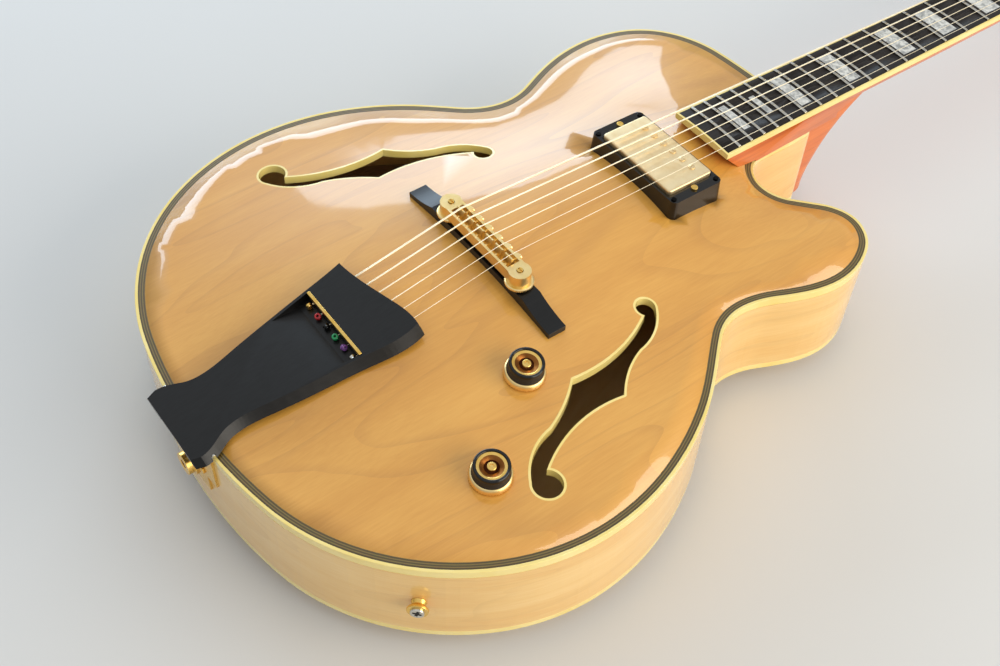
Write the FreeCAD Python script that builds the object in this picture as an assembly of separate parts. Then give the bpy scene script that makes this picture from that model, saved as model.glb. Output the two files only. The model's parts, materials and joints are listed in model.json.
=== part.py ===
import FreeCAD, Part
import math
import os

# Hollow archtop guitar lying on its back, as separate pieces.
# Lengths are millimetres and angles degrees. While a piece is drawn, height starts at the
# top edge of the rim, distance along the guitar starts at the bridge, and +X is the treble side.
# main() then shifts every piece alike, so that the origin is under the middle of the whole guitar.

Vec = FreeCAD.Vector
ORIGIN = Vec(0, 0, 0)
ACROSS = Vec(1, 0, 0)
ALONG = Vec(0, 1, 0)
UP = Vec(0, 0, 1)
OVERRUN = 2.0
RUNNING_GAP = 0.05
SEAT_GAP = 0.3

# Body
BODY_LENGTH = 503.0
TAIL_TO_BRIDGE = 215.5
LOWER_HALF = 200.5
BASS_WAIST_HALF = 128.7
TREBLE_WAIST_HALF = 122.6
SHOULDER_HALF = 152.0
HORN_HALF = 142.7
NECK_WALL_X = 23.5
RIM_DEPTH = 74.0
TOP_ARCH = 16.0
BACK_ARCH = 15.0
TOP_T = 6.0
BACK_T = 5.0
RIB_T = 3.0
ARCH_GRID = 36.0
ARCH_CELLS = 5
AXIS_TAIL = 75.0
AXIS_HEAD = 195.0
BINDING_W = 2.1
PURFLING_W = 4.4
PURFLING_T = 1.5
LINING_W = 6.0
LINING_H = 12.0
NECK_BLOCK_L = 62.0
NECK_BLOCK_W = 76.0
TAIL_BLOCK_L = 24.0
TAIL_BLOCK_W = 84.0
BAR_LENGTH = 300.0
BAR_W = 9.0
BAR_H = 12.0
BAR_SPREAD = 70.0

# Sound holes
F_X = 121.0
F_Y = -3.5
F_HALF_LENGTH = 73.5
F_HALF_WIDTH = 44.0
F_BINDING = 1.6

# Neck
SCALE_LENGTH = 628.65
COMPENSATION = 2.5
NECK_ANGLE = 2.06
BOARD_RISE = 32.0
BOARD_T = 5.5
BOARD_END_HALF = 27.0
NUT_HALF = 21.5
BOARD_END = 187.6
BOARD_RADIUS = 305.0
BOARD_BINDING = 1.7
FRET_COUNT = 20
FRET_W = 2.4
FRET_H = 1.1
INLAY_T = 1.2
NUT_T = 5.0
NUT_RISE = 2.7
NECK_DEPTH_NUT = 15.0
NECK_DEPTH_HEEL = 18.5
TONGUE_TIP_T = 2.5
TONGUE_SETBACK = 3.0
TONGUE_SLOPE_END = 216.0
HEEL_HALF_TOP = 21.0
HEEL_CAP_REACH = 17.5
TENON_HALF = 13.0
TENON_L = 20.0
TENON_FLARE = 3.0
ROD_R = 3.0
ROD_COVER = 2.0

# Headstock and tuners
HEAD_ANGLE = 14.0
HEAD_LENGTH = 178.0
HEAD_HALF = 41.0
HEAD_T = 14.5
VENEER_T = 1.5
TUNER_PITCH = 42.0
TUNER_FIRST = 46.0
TUNER_EDGE = 12.5
POST_R = 3.0
POST_RISE = 13.0
POST_HOLE_R = 0.9
BUSHING_R = 5.0
BUSHING_L = 9.0
BUSHING_FLANGE_R = 7.2
BUSHING_FLANGE_T = 2.0
CASING_W = 15.0
CASING_L = 21.0
CASING_T = 10.0
CASING_CHAMFER = 2.2
WORM_R = 2.0
WORM_OFFSET = 6.2
SHAFT_REACH = 13.0
BUTTON_L = 15.0
BUTTON_HALF_W = 9.0
BUTTON_T = 7.0
LUG_R = 3.4
LUG_T = 2.0
DRIVER_SLOT_W = 0.8
COVER_L = 38.0
COVER_HALF = 11.0
COVER_T = 1.8

# Strings, bass to treble
STRING_RADII = (0.66, 0.54, 0.41, 0.30, 0.205, 0.16)
BRIDGE_SPREAD = 51.0
NUT_SPREAD = 35.5
BALL_SPREAD = 50.0
STRING_RISE_NUT = 2.2
SADDLE_RISE = 4.6
BALL_R = 2.0
BALL_L = 3.0

# Bridge
BASE_HALF = 76.5
BASE_W = 13.5
BASE_TOP = 21.0
BASE_END_T = 4.2
BASE_FLAT_HALF = 50.0
POST_SPACING = 74.0
BRIDGE_POST_R = 2.0
BRIDGE_POST_TOP = 33.9
WHEEL_R = 9.6
WHEEL_T = 2.3
WHEEL_LIFT = 1.4
FRAME_W = 13.0
FRAME_T = 8.4
FRAME_END_R = 7.4
FRAME_WALL = 1.8
FRAME_FLOOR = 2.0
FRAME_BUMP_R = 3.6
CHANNEL_HALF = 30.5
SADDLE_W = 7.4
SADDLE_T = 4.0
SADDLE_SCREW_R = 0.9
SADDLE_HEAD_R = 1.8
SADDLE_HEAD_T = 1.2

# Pickup
PICKUP_Y = 144.5
PICKUP_W = 70.0
PICKUP_L = 38.5
PICKUP_H = 19.0
PICKUP_TOP = 28.3
PICKUP_FILLET = 2.5
RING_TOP = 25.0
RING_W = 87.0
RING_L = 44.0
RING_FLARE = 1.5
RING_CORNER = 4.0
RING_GAP = 0.5
EAR_W = 84.0
EAR_L = 16.0
EAR_T = 2.0
POLE_R = 2.4
POLE_RISE = 0.6
POLE_OFFSET = 10.0
HEIGHT_SCREW_R = 1.3
HEIGHT_SCREW_X = 38.8
SCREW_HEAD_R = 2.4
SCREW_HEAD_T = 1.4

# Controls
VOLUME_X = 89.0
VOLUME_Y = -35.0
TONE_X = 134.0
TONE_Y = -92.5
SKIRT_R = 13.3
SKIRT_T = 3.2
GRIP_R = 11.7
GRIP_TOP_R = 10.7
KNOB_H = 12.6
DISH_R = 9.0
DISH_DEPTH = 2.6
BOSS_R = 2.9
KNOB_LIFT = 1.0
SHAFT_R = 3.0
POT_R = 12.0
POT_T = 9.0
THREAD_R = 4.0

# Tail
TAILPIECE_TILT = 8.0
PIN_Y = -214.0
PIN_Z = 3.0
PIN_R = 1.6
TAIL_TOP = 4.5
TAIL_T = 5.6
TAIL_FRONT_T = 8.4
TAIL_LIP_DROP = 3.6
TAIL_LIP_L = 4.0
TAIL_BEVEL = 4.0
TAIL_FRONT = 137.0
TAIL_FRONT_SKEW = 6.0
TAIL_BACK = 12.0
TAIL_BASS_EXTRA = 4.0
TAIL_HALF = 34.5
BAR_SEAT = 102.5
STRING_BAR_W = 2.2
STRING_BAR_H = 3.0
WELL_L = 28.0
WELL_DEPTH = 6.4
WELL_RIM = 2.0
STEP_DEPTH = 0.6
STRING_HOLE_R = 1.3
BRACKET_HALF = 28.0
BRACKET_LIFT = 0.8
BRACKET_T = 1.6
BRACKET_LOW = 31.0
BRACKET_HIGH = 3.0
BRACKET_TONGUE_HALF = 17.5
BRACKET_TONGUE_LOW = 46.0
KNUCKLE_R = 3.0
KNUCKLE_HALF = 14.0
KNUCKLE_ROOM = 0.8
JACK_DROP = 33.0
JACK_R = 6.2
JACK_L = 34.0
JACK_BORE_R = 3.2
JACK_BORE_L = 30.0
JACK_FLANGE_R = 9.5
JACK_FLANGE_T = 2.6
JACK_NUT_R = 7.6
JACK_NUT_T = 4.0

# Strap buttons and wood screws
BUTTON_DROP = 35.0
STRAP_X = 158.3
STRAP_R = 6.5
STRAP_NECK_R = 3.8
STRAP_H = 6.5
STRAP_FLANGE_T = 1.8
HEEL_BUTTON_SECTION = 4
HEEL_BUTTON_TURN = 50.0
HEEL_BUTTON_TILT = 15.0
BRACKET_SCREW_X = 13.0
BRACKET_SCREW_DROP = 28.5
STRAP_BLOCK = 26.0
WOOD_SCREW_R = 1.5
WOOD_SCREW_L = 14.0
FINE_SCREW_R = 1.0
FINE_SCREW_L = 7.0
SCREW_HEAD_SHARE = 1.9
SCREW_DOME_SHARE = 0.9

# Places worked out from the sizes above
BODY_HEAD = BODY_LENGTH - TAIL_TO_BRIDGE
NUT_Y = SCALE_LENGTH + COMPENSATION
DEEP = RIM_DEPTH + BACK_ARCH + TOP_ARCH
FRAME_BOTTOM = BASE_TOP + WHEEL_LIFT + WHEEL_T + RUNNING_GAP
FRAME_TOP = FRAME_BOTTOM + FRAME_T
RIB_LOW = BACK_T - RIM_DEPTH + SEAT_GAP
RIB_HIGH = -TOP_T - SEAT_GAP
STRING_COUNT = len(STRING_RADII)


# Small helpers

def box(x_low, x_high, y_low, y_high, z_low, z_high):
    return Part.makeBox(x_high - x_low, y_high - y_low, z_high - z_low, Vec(x_low, y_low, z_low))


def cylinder(radius, start, along, length):
    return Part.makeCylinder(radius, length, start, along)


def fuse(shapes):
    return shapes[0].multiFuse(shapes[1:]).removeSplitter()


def group(shapes):
    solids = []
    for shape in shapes:
        solids.extend(shape.Solids)
    return Part.makeCompound(solids)


def spline(points):
    curve = Part.BSplineCurve()
    curve.interpolate(points)
    return curve.toShape()


def polygon_prism(points, direction):
    wire = Part.makePolygon(points + [points[0]])
    return Part.Face(wire).extrude(direction)


def revolve(profile, base, axis):
    wire = Part.makePolygon(profile + [profile[0]])
    return Part.Face(wire).revolve(base, axis, 360)


def mirror_across(shape):
    return shape.mirror(ORIGIN, ACROSS)


def spread_x(spread, index):
    return spread * (index / (STRING_COUNT - 1) - 0.5)


# Body outline: shares of a half width, and of the body length from the tail

LOWER_SHARES = ((0.374, 0.0157), (0.698, 0.0777), (0.918, 0.187), (1.0, 0.326))
BASS_HIP_SHARES = ((0.935, 0.4535), (0.783, 0.5555))
BASS_WAIST_SHARES = ((1.025, 0.625), (1.004, 0.664))
SHOULDER_SHARES = ((0.927, 0.7305), (1.0, 0.8255), (0.962, 0.901), (0.80, 0.964), (0.53, 0.9945),
                   (0.26, 1.0))
NECK_WALL_SHARES = ((0.1, 1.0), (0.55, 0.9985), (0.91, 0.9885), (1.0, 0.971), (1.0, 0.9055),
                    (1.06, 0.872))
HORN_SHARES = ((0.238, 0.847), (0.350, 0.840), (0.466, 0.8515), (0.582, 0.8827), (0.68, 0.8994),
               (0.792, 0.8996), (0.9145, 0.8748), (0.987, 0.832), (1.0, 0.802), (0.96, 0.7475))
TREBLE_WAIST_SHARES = ((1.003, 0.673), (1.008, 0.6392))
TREBLE_HIP_SHARES = ((0.708, 0.584), (0.854, 0.5094), (0.9466, 0.4304))
# Places in the outline's list where the round stretches meet
ARC_ENDS = (0, 2, 4, 6, 7, 8, 9, 10, 12, 14, 15, 16, 17, 18, 19, 20, 22, 24, 26, 28, 30,
            31, 32, 33, 34, 36, 38)
outline_store = []


def shared_points(half_width, shares):
    return [Vec(half_width * x, BODY_LENGTH * y - TAIL_TO_BRIDGE, 0) for x, y in shares]


def outline_points():
    points = [Vec(0, -TAIL_TO_BRIDGE, 0)]
    points += shared_points(-LOWER_HALF, LOWER_SHARES + BASS_HIP_SHARES)
    points += shared_points(-BASS_WAIST_HALF, BASS_WAIST_SHARES)
    points += shared_points(-SHOULDER_HALF, SHOULDER_SHARES)
    points += shared_points(NECK_WALL_X, NECK_WALL_SHARES)
    points += shared_points(HORN_HALF, HORN_SHARES)
    points += shared_points(TREBLE_WAIST_HALF, TREBLE_WAIST_SHARES)
    points += shared_points(LOWER_HALF, TREBLE_HIP_SHARES + LOWER_SHARES[::-1])
    return points


# The outline runs clockwise seen from above, so its inner side is on the right
def right_of(forward):
    return Vec(forward.y, -forward.x, 0)


# An arc from its two ends and its first direction, as three places with their directions
def arc_places(start, forward, end):
    chord = end - start
    ahead = chord * (1 / chord.Length)
    turn = 2 * math.atan2((forward.cross(ahead)).z, forward.dot(ahead))
    middle = (start + end) * 0.5 + right_of(ahead) * (chord.Length / 2 * math.tan(turn / 4))
    return (start, forward), (middle, ahead), (end, ahead * (2 * ahead.dot(forward)) - forward)


# Two arcs that meet smoothly between two places with given directions
def arc_pair(start, forward, end, onward):
    gap = end - start
    turn = 2 * (1 - forward.dot(onward))
    pull = gap.dot(forward + onward)
    reach = (math.sqrt(pull * pull + turn * gap.dot(gap)) - pull) / turn
    joint = (start + end + (forward - onward) * reach) * 0.5
    first = arc_places(start, forward, joint)
    return [first, arc_places(joint, first[2][1], end)]


def outline_arcs():
    if not outline_store:
        points = outline_points()
        curve = Part.BSplineCurve()
        curve.interpolate(points, PeriodicFlag=True)
        ends = [(points[index], curve.tangent(curve.parameter(points[index]))[0]) for index in ARC_ENDS]
        ends[0] = (points[0], -ACROSS)
        for near, far in zip(ends, ends[1:] + ends[:1]):
            outline_store.extend(arc_pair(*near, *far))
    return outline_store


def outline_wire(inset, z):
    edges = []
    for arc in outline_arcs():
        places = [place + right_of(forward) * inset + UP * z for place, forward in arc]
        edges.append(Part.Arc(*places).toShape())
    return Part.Wire(edges)


def outline_prism(inset, z_low, z_high):
    return Part.Face(outline_wire(inset, z_low)).extrude(UP * (z_high - z_low))


def outline_ring(outer, inner, z_low, z_high):
    wires = [outline_wire(outer, z_low), outline_wire(inner, z_low)]
    return Part.makeFace(wires, "Part::FaceMakerBullseye").extrude(UP * (z_high - z_low))


# Arch: how far a place lies from the middle line of the body on the way to the rim, as a share

def inside(polygon, x, y):
    hit = False
    for a, b in zip(polygon, polygon[1:] + polygon[:1]):
        if (a.y > y) != (b.y > y) and x < a.x + (b.x - a.x) * (y - a.y) / (b.y - a.y):
            hit = not hit
    return hit


def rim_share(polygon, x, y):
    if not inside(polygon, x, y):
        return 1.0
    middle_y = min(max(y, -AXIS_TAIL), AXIS_HEAD)
    from_middle = math.hypot(x, y - middle_y)
    from_rim = min(math.hypot(x - point.x, y - point.y) for point in polygon)
    return from_middle / (from_middle + from_rim)


def rim_shares():
    step = ARCH_GRID / ARCH_CELLS
    half = ARCH_CELLS * math.ceil((LOWER_HALF + ARCH_GRID) / ARCH_GRID)
    tail = ARCH_CELLS * math.ceil((TAIL_TO_BRIDGE + ARCH_GRID) / ARCH_GRID)
    head = ARCH_CELLS * math.ceil((BODY_HEAD + ARCH_GRID) / ARCH_GRID)
    rim = outline_wire(BINDING_W, 0).discretize(Distance=ARCH_GRID / ARCH_CELLS)
    shares = []
    for row in range(-tail, head + 1):
        shares.append([rim_share(rim, column * step, row * step) for column in range(-half, half + 1)])
    for _ in range(ARCH_CELLS):
        columns = range(len(shares[0]))
        shares = [[smoothed(shares, row, column) for column in columns] for row in range(len(shares))]
    return shares, half, tail, step


def smoothed(shares, row, column):
    if shares[row][column] == 1.0:
        return 1.0
    above, below = shares[row - 1][column], shares[row + 1][column]
    return (above + below + shares[row][column - 1] + shares[row][column + 1]) / 4


def arch_height(share):
    return math.cos(math.pi / 2 * share) ** 2


def arch_surface(base, arch, shares):
    share, half, tail, step = shares
    peak = arch_height(min(min(line) for line in share))
    grid = []
    for row in range(0, len(share), ARCH_CELLS):
        line = []
        for column in range(0, len(share[0]), ARCH_CELLS):
            height = base + arch * arch_height(share[row][column]) / peak
            line.append(Vec((column - half) * step, (row - tail) * step, height))
        grid.append(line)
    surface = Part.BSplineSurface()
    surface.interpolate(grid)
    return surface


class Body:
    def __init__(self):
        shares = rim_shares()
        self.top = arch_surface(0, TOP_ARCH, shares)
        self.back = arch_surface(-RIM_DEPTH, -BACK_ARCH, shares)
        self.under_top = self.top.toShape().extrude(UP * -DEEP)

    def seat(self, x, y):
        place = self.top.parameter(Vec(x, y, TOP_ARCH / 2))
        point = self.top.value(*place)
        normal = self.top.normal(*place)
        if normal.z < 0:
            normal = normal * -1
        return point, normal


def tenon():
    back = BODY_HEAD - TENON_L
    wide, front = TENON_HALF + TENON_FLARE, BODY_HEAD + OVERRUN
    low = RIB_LOW
    points = [Vec(-wide, back, low), Vec(wide, back, low)]
    points += [Vec(TENON_HALF, front, low), Vec(-TENON_HALF, front, low)]
    return polygon_prism(points, UP * (BOARD_RISE - low))


# Sound hole outline: shares of its half width and half length about its middle,
# in groups of three places that one round stretch runs through
F_SHARES = (((-0.645, 0.845), (-0.328, 0.347), (-0.305, -0.109)),
            ((-0.305, -0.109), (-0.055, -0.3), (0.159, -0.551)),
            ((0.159, -0.551), (0.352, -0.823), (0.66, -0.978)),
            ((0.66, -0.978), (1.005, -0.87), (0.618, -0.81)),
            ((0.618, -0.81), (0.275, -0.34), (0.266, 0.159)),
            ((0.266, 0.159), (-0.01, 0.335), (-0.216, 0.578)),
            ((-0.216, 0.578), (-0.398, 0.837), (-0.68, 0.987)),
            ((-0.68, 0.987), (-0.9, 0.912), (-0.645, 0.845)))


def f_wire():
    edges = []
    for shares in F_SHARES:
        places = [Vec(F_X + F_HALF_WIDTH * x, F_Y + F_HALF_LENGTH * y, 0) for x, y in shares]
        edges.append(Part.Arc(*places).toShape())
    return Part.Wire(edges)


def f_prisms(grow):
    face = Part.Face(f_wire())
    if grow:
        face = face.makeOffset2D(grow, 0, False, False, False)
    face.translate(Vec(0, 0, -TOP_T - OVERRUN))
    treble = face.extrude(UP * (TOP_ARCH + TOP_T + OVERRUN + OVERRUN))
    return [treble, mirror_across(treble)]


# Body pieces

def top_slab(body, above, below):
    face = body.top.toShape()
    face.translate(UP * above)
    return face.extrude(UP * -(above + below))


def knob_places():
    return (("volume", VOLUME_X, VOLUME_Y), ("tone", TONE_X, TONE_Y))


def make_top(body):
    inner = BINDING_W + PURFLING_W
    groove = top_slab(body, OVERRUN, PURFLING_T).common(outline_ring(BINDING_W / 2, inner, -DEEP, DEEP))
    purfling = top_slab(body, 0, PURFLING_T).common(outline_ring(BINDING_W, inner, -DEEP, DEEP))
    plate = top_slab(body, 0, TOP_T).common(outline_prism(BINDING_W, -DEEP, DEEP)).cut(groove)
    cuts = f_prisms(F_BINDING) + [tenon(), pickup_opening()] + stems(ring_screws())
    for _, x, y in knob_places():
        point, normal = body.seat(x, y)
        cuts.append(cylinder(THREAD_R, point - normal * (TOP_T * 2), normal, TOP_T * 4))
    trim = [wide.cut(narrow) for wide, narrow in zip(f_prisms(F_BINDING), f_prisms(0))]
    rings = [top_slab(body, 0, TOP_T).common(piece) for piece in trim]
    return {"top_plate": plate.cut(cuts), "top_purfling": purfling.cut(tenon()),
            "f_hole_bindings": group(rings)}


def make_back(body):
    slab = body.back.toShape().extrude(UP * BACK_T)
    return {"back_plate": slab.common(outline_prism(BINDING_W, -DEEP, DEEP))}


def make_rims():
    holes = [tenon(), jack_hole()] + stems(bracket_screws() + strap_screws())
    rib = outline_ring(0, RIB_T, RIB_LOW, RIB_HIGH).cut(holes)
    treble = box(0, LOWER_HALF * 2, -BODY_LENGTH, BODY_LENGTH, -DEEP, DEEP)
    linings = []
    for z_low in (RIB_LOW, RIB_HIGH - LINING_H):
        lining = outline_ring(RIB_T, RIB_T + LINING_W, z_low, z_low + LINING_H)
        linings.append(lining.cut([neck_block(), tail_block()]))
    return {"top_binding": outline_ring(0, BINDING_W, RIB_HIGH, 0).cut(tenon()),
            "back_binding": outline_ring(0, BINDING_W, -RIM_DEPTH, RIB_LOW),
            "bass_rib": rib.cut(treble), "treble_rib": rib.common(treble), "linings": group(linings)}


def inner_block(x_low, x_high, y_low, y_high, z_low, z_high):
    block = box(x_low, x_high, y_low, y_high, z_low, z_high)
    return block.common(outline_prism(RIB_T, z_low - OVERRUN, z_high + OVERRUN))


def neck_block():
    half = NECK_BLOCK_W / 2
    return inner_block(-half, half, BODY_HEAD - NECK_BLOCK_L, BODY_HEAD, RIB_LOW, RIB_HIGH)


def tail_block():
    half = TAIL_BLOCK_W / 2
    tail = -TAIL_TO_BRIDGE
    return inner_block(-half, half, tail, tail + TAIL_BLOCK_L, RIB_LOW, RIB_HIGH)


def strap_block():
    point, _ = rim_seat(STRAP_X, -BUTTON_DROP)
    half = STRAP_BLOCK / 2
    return inner_block(point.x - half, point.x + half, point.y, point.y + STRAP_BLOCK,
                       point.z - half, point.z + half)


def make_inside(body):
    blocks = [neck_block().cut(tenon()), tail_block().cut([jack_hole()] + stems(bracket_screws())),
              strap_block().cut(stems(strap_screws()))]
    below = body.under_top.copy()
    below.translate(UP * -TOP_T)
    bars = []
    for side in (-1, 1):
        middle = side * BAR_SPREAD / 2
        bar = box(middle - BAR_W / 2, middle + BAR_W / 2, -BAR_LENGTH / 2, BAR_LENGTH / 2, -BAR_H, TOP_ARCH)
        bars.append(bar.common(below).cut(pickup_room()))
    return {"end_blocks": group(blocks), "tone_bars": group(bars)}


# Neck, drawn level with the fretboard's top at height zero and then tilted

def to_neck(shape):
    placed = shape.copy()
    placed.rotate(ORIGIN, ACROSS, -NECK_ANGLE)
    placed.translate(Vec(0, 0, BOARD_RISE))
    return placed


def neck_point(point):
    turn = FreeCAD.Rotation(ACROSS, -NECK_ANGLE)
    return turn.multVec(point) + Vec(0, 0, BOARD_RISE)


def board_half(y):
    return BOARD_END_HALF + (NUT_HALF - BOARD_END_HALF) * (y - BOARD_END) / (NUT_Y - BOARD_END)


def fret_y(number):
    return NUT_Y - SCALE_LENGTH * (1 - 2 ** (-number / 12))


def board_plan(inset, y_low, y_high, z_low, z_high):
    near, far = board_half(y_low) - inset, board_half(y_high) - inset
    points = [Vec(-near, y_low, z_low), Vec(near, y_low, z_low)]
    points += [Vec(far, y_high, z_low), Vec(-far, y_high, z_low)]
    return polygon_prism(points, UP * (z_high - z_low))


def board_crown(rise):
    return cylinder(BOARD_RADIUS + rise, Vec(0, 0, -BOARD_RADIUS), ALONG, NUT_Y + OVERRUN)


# Inlay sizes: fret number, then shares of the fret space and of the board's width
INLAY_SHARES = ((3, 0.62, 0.66), (5, 0.62, 0.66), (7, 0.62, 0.66), (9, 0.62, 0.66), (12, 0.62, 0.66),
                (15, 0.62, 0.66), (17, 0.36, 0.40), (19, 0.50, 0.52))


def inlay_boxes():
    boxes = []
    for number, length_share, width_share in INLAY_SHARES:
        near, far = fret_y(number), fret_y(number - 1)
        middle, half = (near + far) / 2, (far - near) * length_share / 2
        wide = board_half(middle) * width_share
        boxes.append(box(-wide, wide, middle - half, middle + half, -INLAY_T - OVERRUN / 2, OVERRUN))
    return boxes


def make_board():
    raw = board_plan(0, BOARD_END, NUT_Y, -BOARD_T, OVERRUN).common(board_crown(0))
    core = board_plan(BOARD_BINDING, BOARD_END + BOARD_BINDING, NUT_Y, -BOARD_T - OVERRUN, OVERRUN * 2)
    inlays = [raw.common(block) for block in inlay_boxes()]
    frets = []
    for number in range(1, FRET_COUNT + 1):
        low, high = fret_y(number) - FRET_W / 2, fret_y(number) + FRET_W / 2
        strip = board_plan(BOARD_BINDING, low, high, -BOARD_T, OVERRUN)
        frets.append(strip.common(board_crown(FRET_H)).cut(board_crown(0)))
    return {"fretboard": to_neck(raw.common(core).cut(inlay_boxes())),
            "fretboard_binding": to_neck(raw.cut(core)),
            "fret_inlays": to_neck(group(inlays)), "frets": to_neck(group(frets))}


def make_nut():
    high = NUT_RISE
    nut = box(-NUT_HALF, NUT_HALF, NUT_Y, NUT_Y + NUT_T, -BOARD_T, high)
    slots = []
    for index, radius in enumerate(STRING_RADII):
        x = spread_x(NUT_SPREAD, index)
        reach = radius + SEAT_GAP
        slots.append(box(x - reach, x + reach, NUT_Y - OVERRUN, NUT_Y + NUT_T + OVERRUN,
                         STRING_RISE_NUT - reach, high + OVERRUN))
    return {"nut": to_neck(nut.cut(slots))}


def neck_section(y, depth):
    half = board_half(y)
    left, right = Vec(-half, y, -BOARD_T), Vec(half, y, -BOARD_T)
    belly = Part.Arc(left, Vec(0, y, -BOARD_T - depth), right).toShape()
    return Part.Wire([belly, Part.makeLine(right, left)])


# Heel sections from the top down: shares of the rim depth, of the half width and of the reach
HEEL_SHARES = ((0.14, 1.0, 4.2), (0.02, 1.0, 3.3), (-0.13, 0.99, 2.55), (-0.35, 0.96, 1.8),
               (-0.58, 0.92, 1.32), (-0.78, 0.87, 1.07), (-1.0, 0.82, 1.0))


def heel_section(height_share, half_share, reach_share):
    z = RIM_DEPTH * height_share
    half = HEEL_HALF_TOP * half_share
    back, front = BODY_HEAD - TENON_L, BODY_HEAD + HEEL_CAP_REACH * reach_share
    shoulder = max(BODY_HEAD, front - half)
    corners = [Vec(half, shoulder, z), Vec(half, back, z), Vec(-half, back, z), Vec(-half, shoulder, z)]
    nose = Part.Arc(corners[-1], Vec(0, front, z), corners[0]).toShape()
    return Part.Wire([nose, Part.makePolygon(corners)])


# The wedge under the fretboard, down to the level of the rim
def tongue_shape():
    start = BOARD_END + TONGUE_SETBACK
    side = [(start, -BOARD_T), (start, -BOARD_T - TONGUE_TIP_T), (TONGUE_SLOPE_END, -BOARD_RISE),
            (BODY_HEAD + HEEL_CAP_REACH, -BOARD_RISE), (BODY_HEAD + HEEL_CAP_REACH, -BOARD_T)]
    wedge = polygon_prism([Vec(-BOARD_END_HALF, y, z) for y, z in side], ACROSS * (BOARD_END_HALF * 2))
    inset = BOARD_BINDING / 2
    plan = board_plan(inset, start, BODY_HEAD + HEEL_CAP_REACH, -BOARD_RISE * 2, 0)
    below = box(-BOARD_END_HALF * 2, BOARD_END_HALF * 2, 0, NUT_Y, -DEEP, 0)
    return to_neck(wedge.common(plan)).cut(below)


def make_neck(body):
    sections = [neck_section(NUT_Y + NUT_T, NECK_DEPTH_NUT), neck_section(fret_y(7), NECK_DEPTH_HEEL),
                neck_section(BODY_HEAD - TENON_L, NECK_DEPTH_HEEL)]
    shaft = to_neck(Part.makeLoft(sections, True, True))
    under_board = to_neck(box(-DEEP, DEEP, 0, NUT_Y, -DEEP * 2, -BOARD_T))
    heel = Part.makeLoft([heel_section(*shares) for shares in HEEL_SHARES], True, False).common(under_board)
    raw = fuse([shaft, tongue_shape(), heel])
    sunk = raw.common(outline_prism(0, -DEEP, DEEP)).common(body.under_top)
    outside = max(raw.cut(sunk).Solids, key=lambda solid: solid.Volume)
    held = tenon().common(to_neck(box(-BOARD_END_HALF, BOARD_END_HALF, 0, NUT_Y, -DEEP * 2, -BOARD_T)))
    whole = fuse([outside, held, head_shape()])
    rod = rod_shape(RUNNING_GAP)
    holes = [rod] + tuner_holes() + stems(casing_screws() + cover_screws() + strap_screws())
    return {"neck": whole.cut(holes), "truss_rod": rod_shape(0)}


def rod_shape(gap):
    start = Vec(0, BODY_HEAD + NECK_BLOCK_L / 2, -BOARD_T - ROD_COVER - ROD_R)
    return to_neck(cylinder(ROD_R + gap, start, ALONG, NUT_Y - start.y))


# Headstock, drawn level with its wood face at height zero and then tilted further back

def to_head(shape):
    placed = shape.copy()
    placed.rotate(ORIGIN, ACROSS, -HEAD_ANGLE)
    placed.translate(Vec(0, NUT_Y + NUT_T, -BOARD_T))
    return to_neck(placed)


def head_point(point):
    turn = FreeCAD.Rotation(ACROSS, -HEAD_ANGLE)
    return neck_point(turn.multVec(point) + Vec(0, NUT_Y + NUT_T, -BOARD_T))


def head_direction(direction):
    return FreeCAD.Rotation(ACROSS, -NECK_ANGLE - HEAD_ANGLE).multVec(direction)


# Half outline of the headstock: shares of its half width and length, as two round stretches
HEAD_SIDE_SHARES = ((0.60, 0.08), (0.78, 0.19), (0.90, 0.56), (1.0, 0.93))
HEAD_CROWN_SHARE = 1.0
EYE_SHARE = 0.6
WIND_SHARE = 0.4


def head_half(y):
    points = [(NUT_HALF, 0)] + [(HEAD_HALF * x, HEAD_LENGTH * share) for x, share in HEAD_SIDE_SHARES]
    for near, far in zip(points, points[1:]):
        if near[1] <= y <= far[1]:
            return near[0] + (far[0] - near[0]) * (y - near[1]) / (far[1] - near[1])
    return HEAD_HALF


def head_face(z):
    right = [Vec(NUT_HALF, 0, z)] + [Vec(HEAD_HALF * x, HEAD_LENGTH * y, z) for x, y in HEAD_SIDE_SHARES]
    left = [Vec(-point.x, point.y, z) for point in reversed(right)]
    crown = Vec(0, HEAD_LENGTH * HEAD_CROWN_SHARE, z)
    arcs = [right[:3], right[2:], [right[-1], crown, left[0]], left[:3], left[2:]]
    edges = [Part.Arc(*places).toShape() for places in arcs]
    return Part.Face(Part.Wire(edges + [Part.makeLine(left[-1], right[0])]))


def head_shape():
    return to_head(head_face(-HEAD_T).extrude(UP * HEAD_T))


def tuner_places():
    places = []
    for side in (-1, 1):
        for row in range(STRING_COUNT // 2):
            y = TUNER_FIRST + TUNER_PITCH * row
            places.append((side, side * (head_half(y) - TUNER_EDGE), y))
    bass, treble = places[:STRING_COUNT // 2], places[STRING_COUNT // 2:]
    return bass + treble[::-1]


def tuner_holes():
    holes = []
    for _, x, y in tuner_places():
        holes.append(to_head(cylinder(BUSHING_R, Vec(x, y, -HEAD_T - OVERRUN), UP, HEAD_T + OVERRUN * 2)))
    return holes


# Half outline of the rod cover: shares of its half width and length
COVER_SHARES = ((1.0, 0.0), (0.58, 0.45), (0.0, 1.0))


def make_headstock():
    veneer = to_head(head_face(0).extrude(UP * VENEER_T)).cut(tuner_holes() + stems(cover_screws()))
    right = [Vec(COVER_HALF * x, COVER_L * y + NUT_T / 2, VENEER_T) for x, y in COVER_SHARES]
    left = [Vec(-point.x, point.y, point.z) for point in reversed(right)]
    sides = [Part.Arc(*right).toShape(), Part.Arc(*left).toShape(), Part.makeLine(left[-1], right[0])]
    cover = to_head(Part.Face(Part.Wire(sides)).extrude(UP * COVER_T))
    return {"headstock_overlay": veneer, "truss_rod_cover": cover.cut(stems(cover_screws()))}


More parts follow.
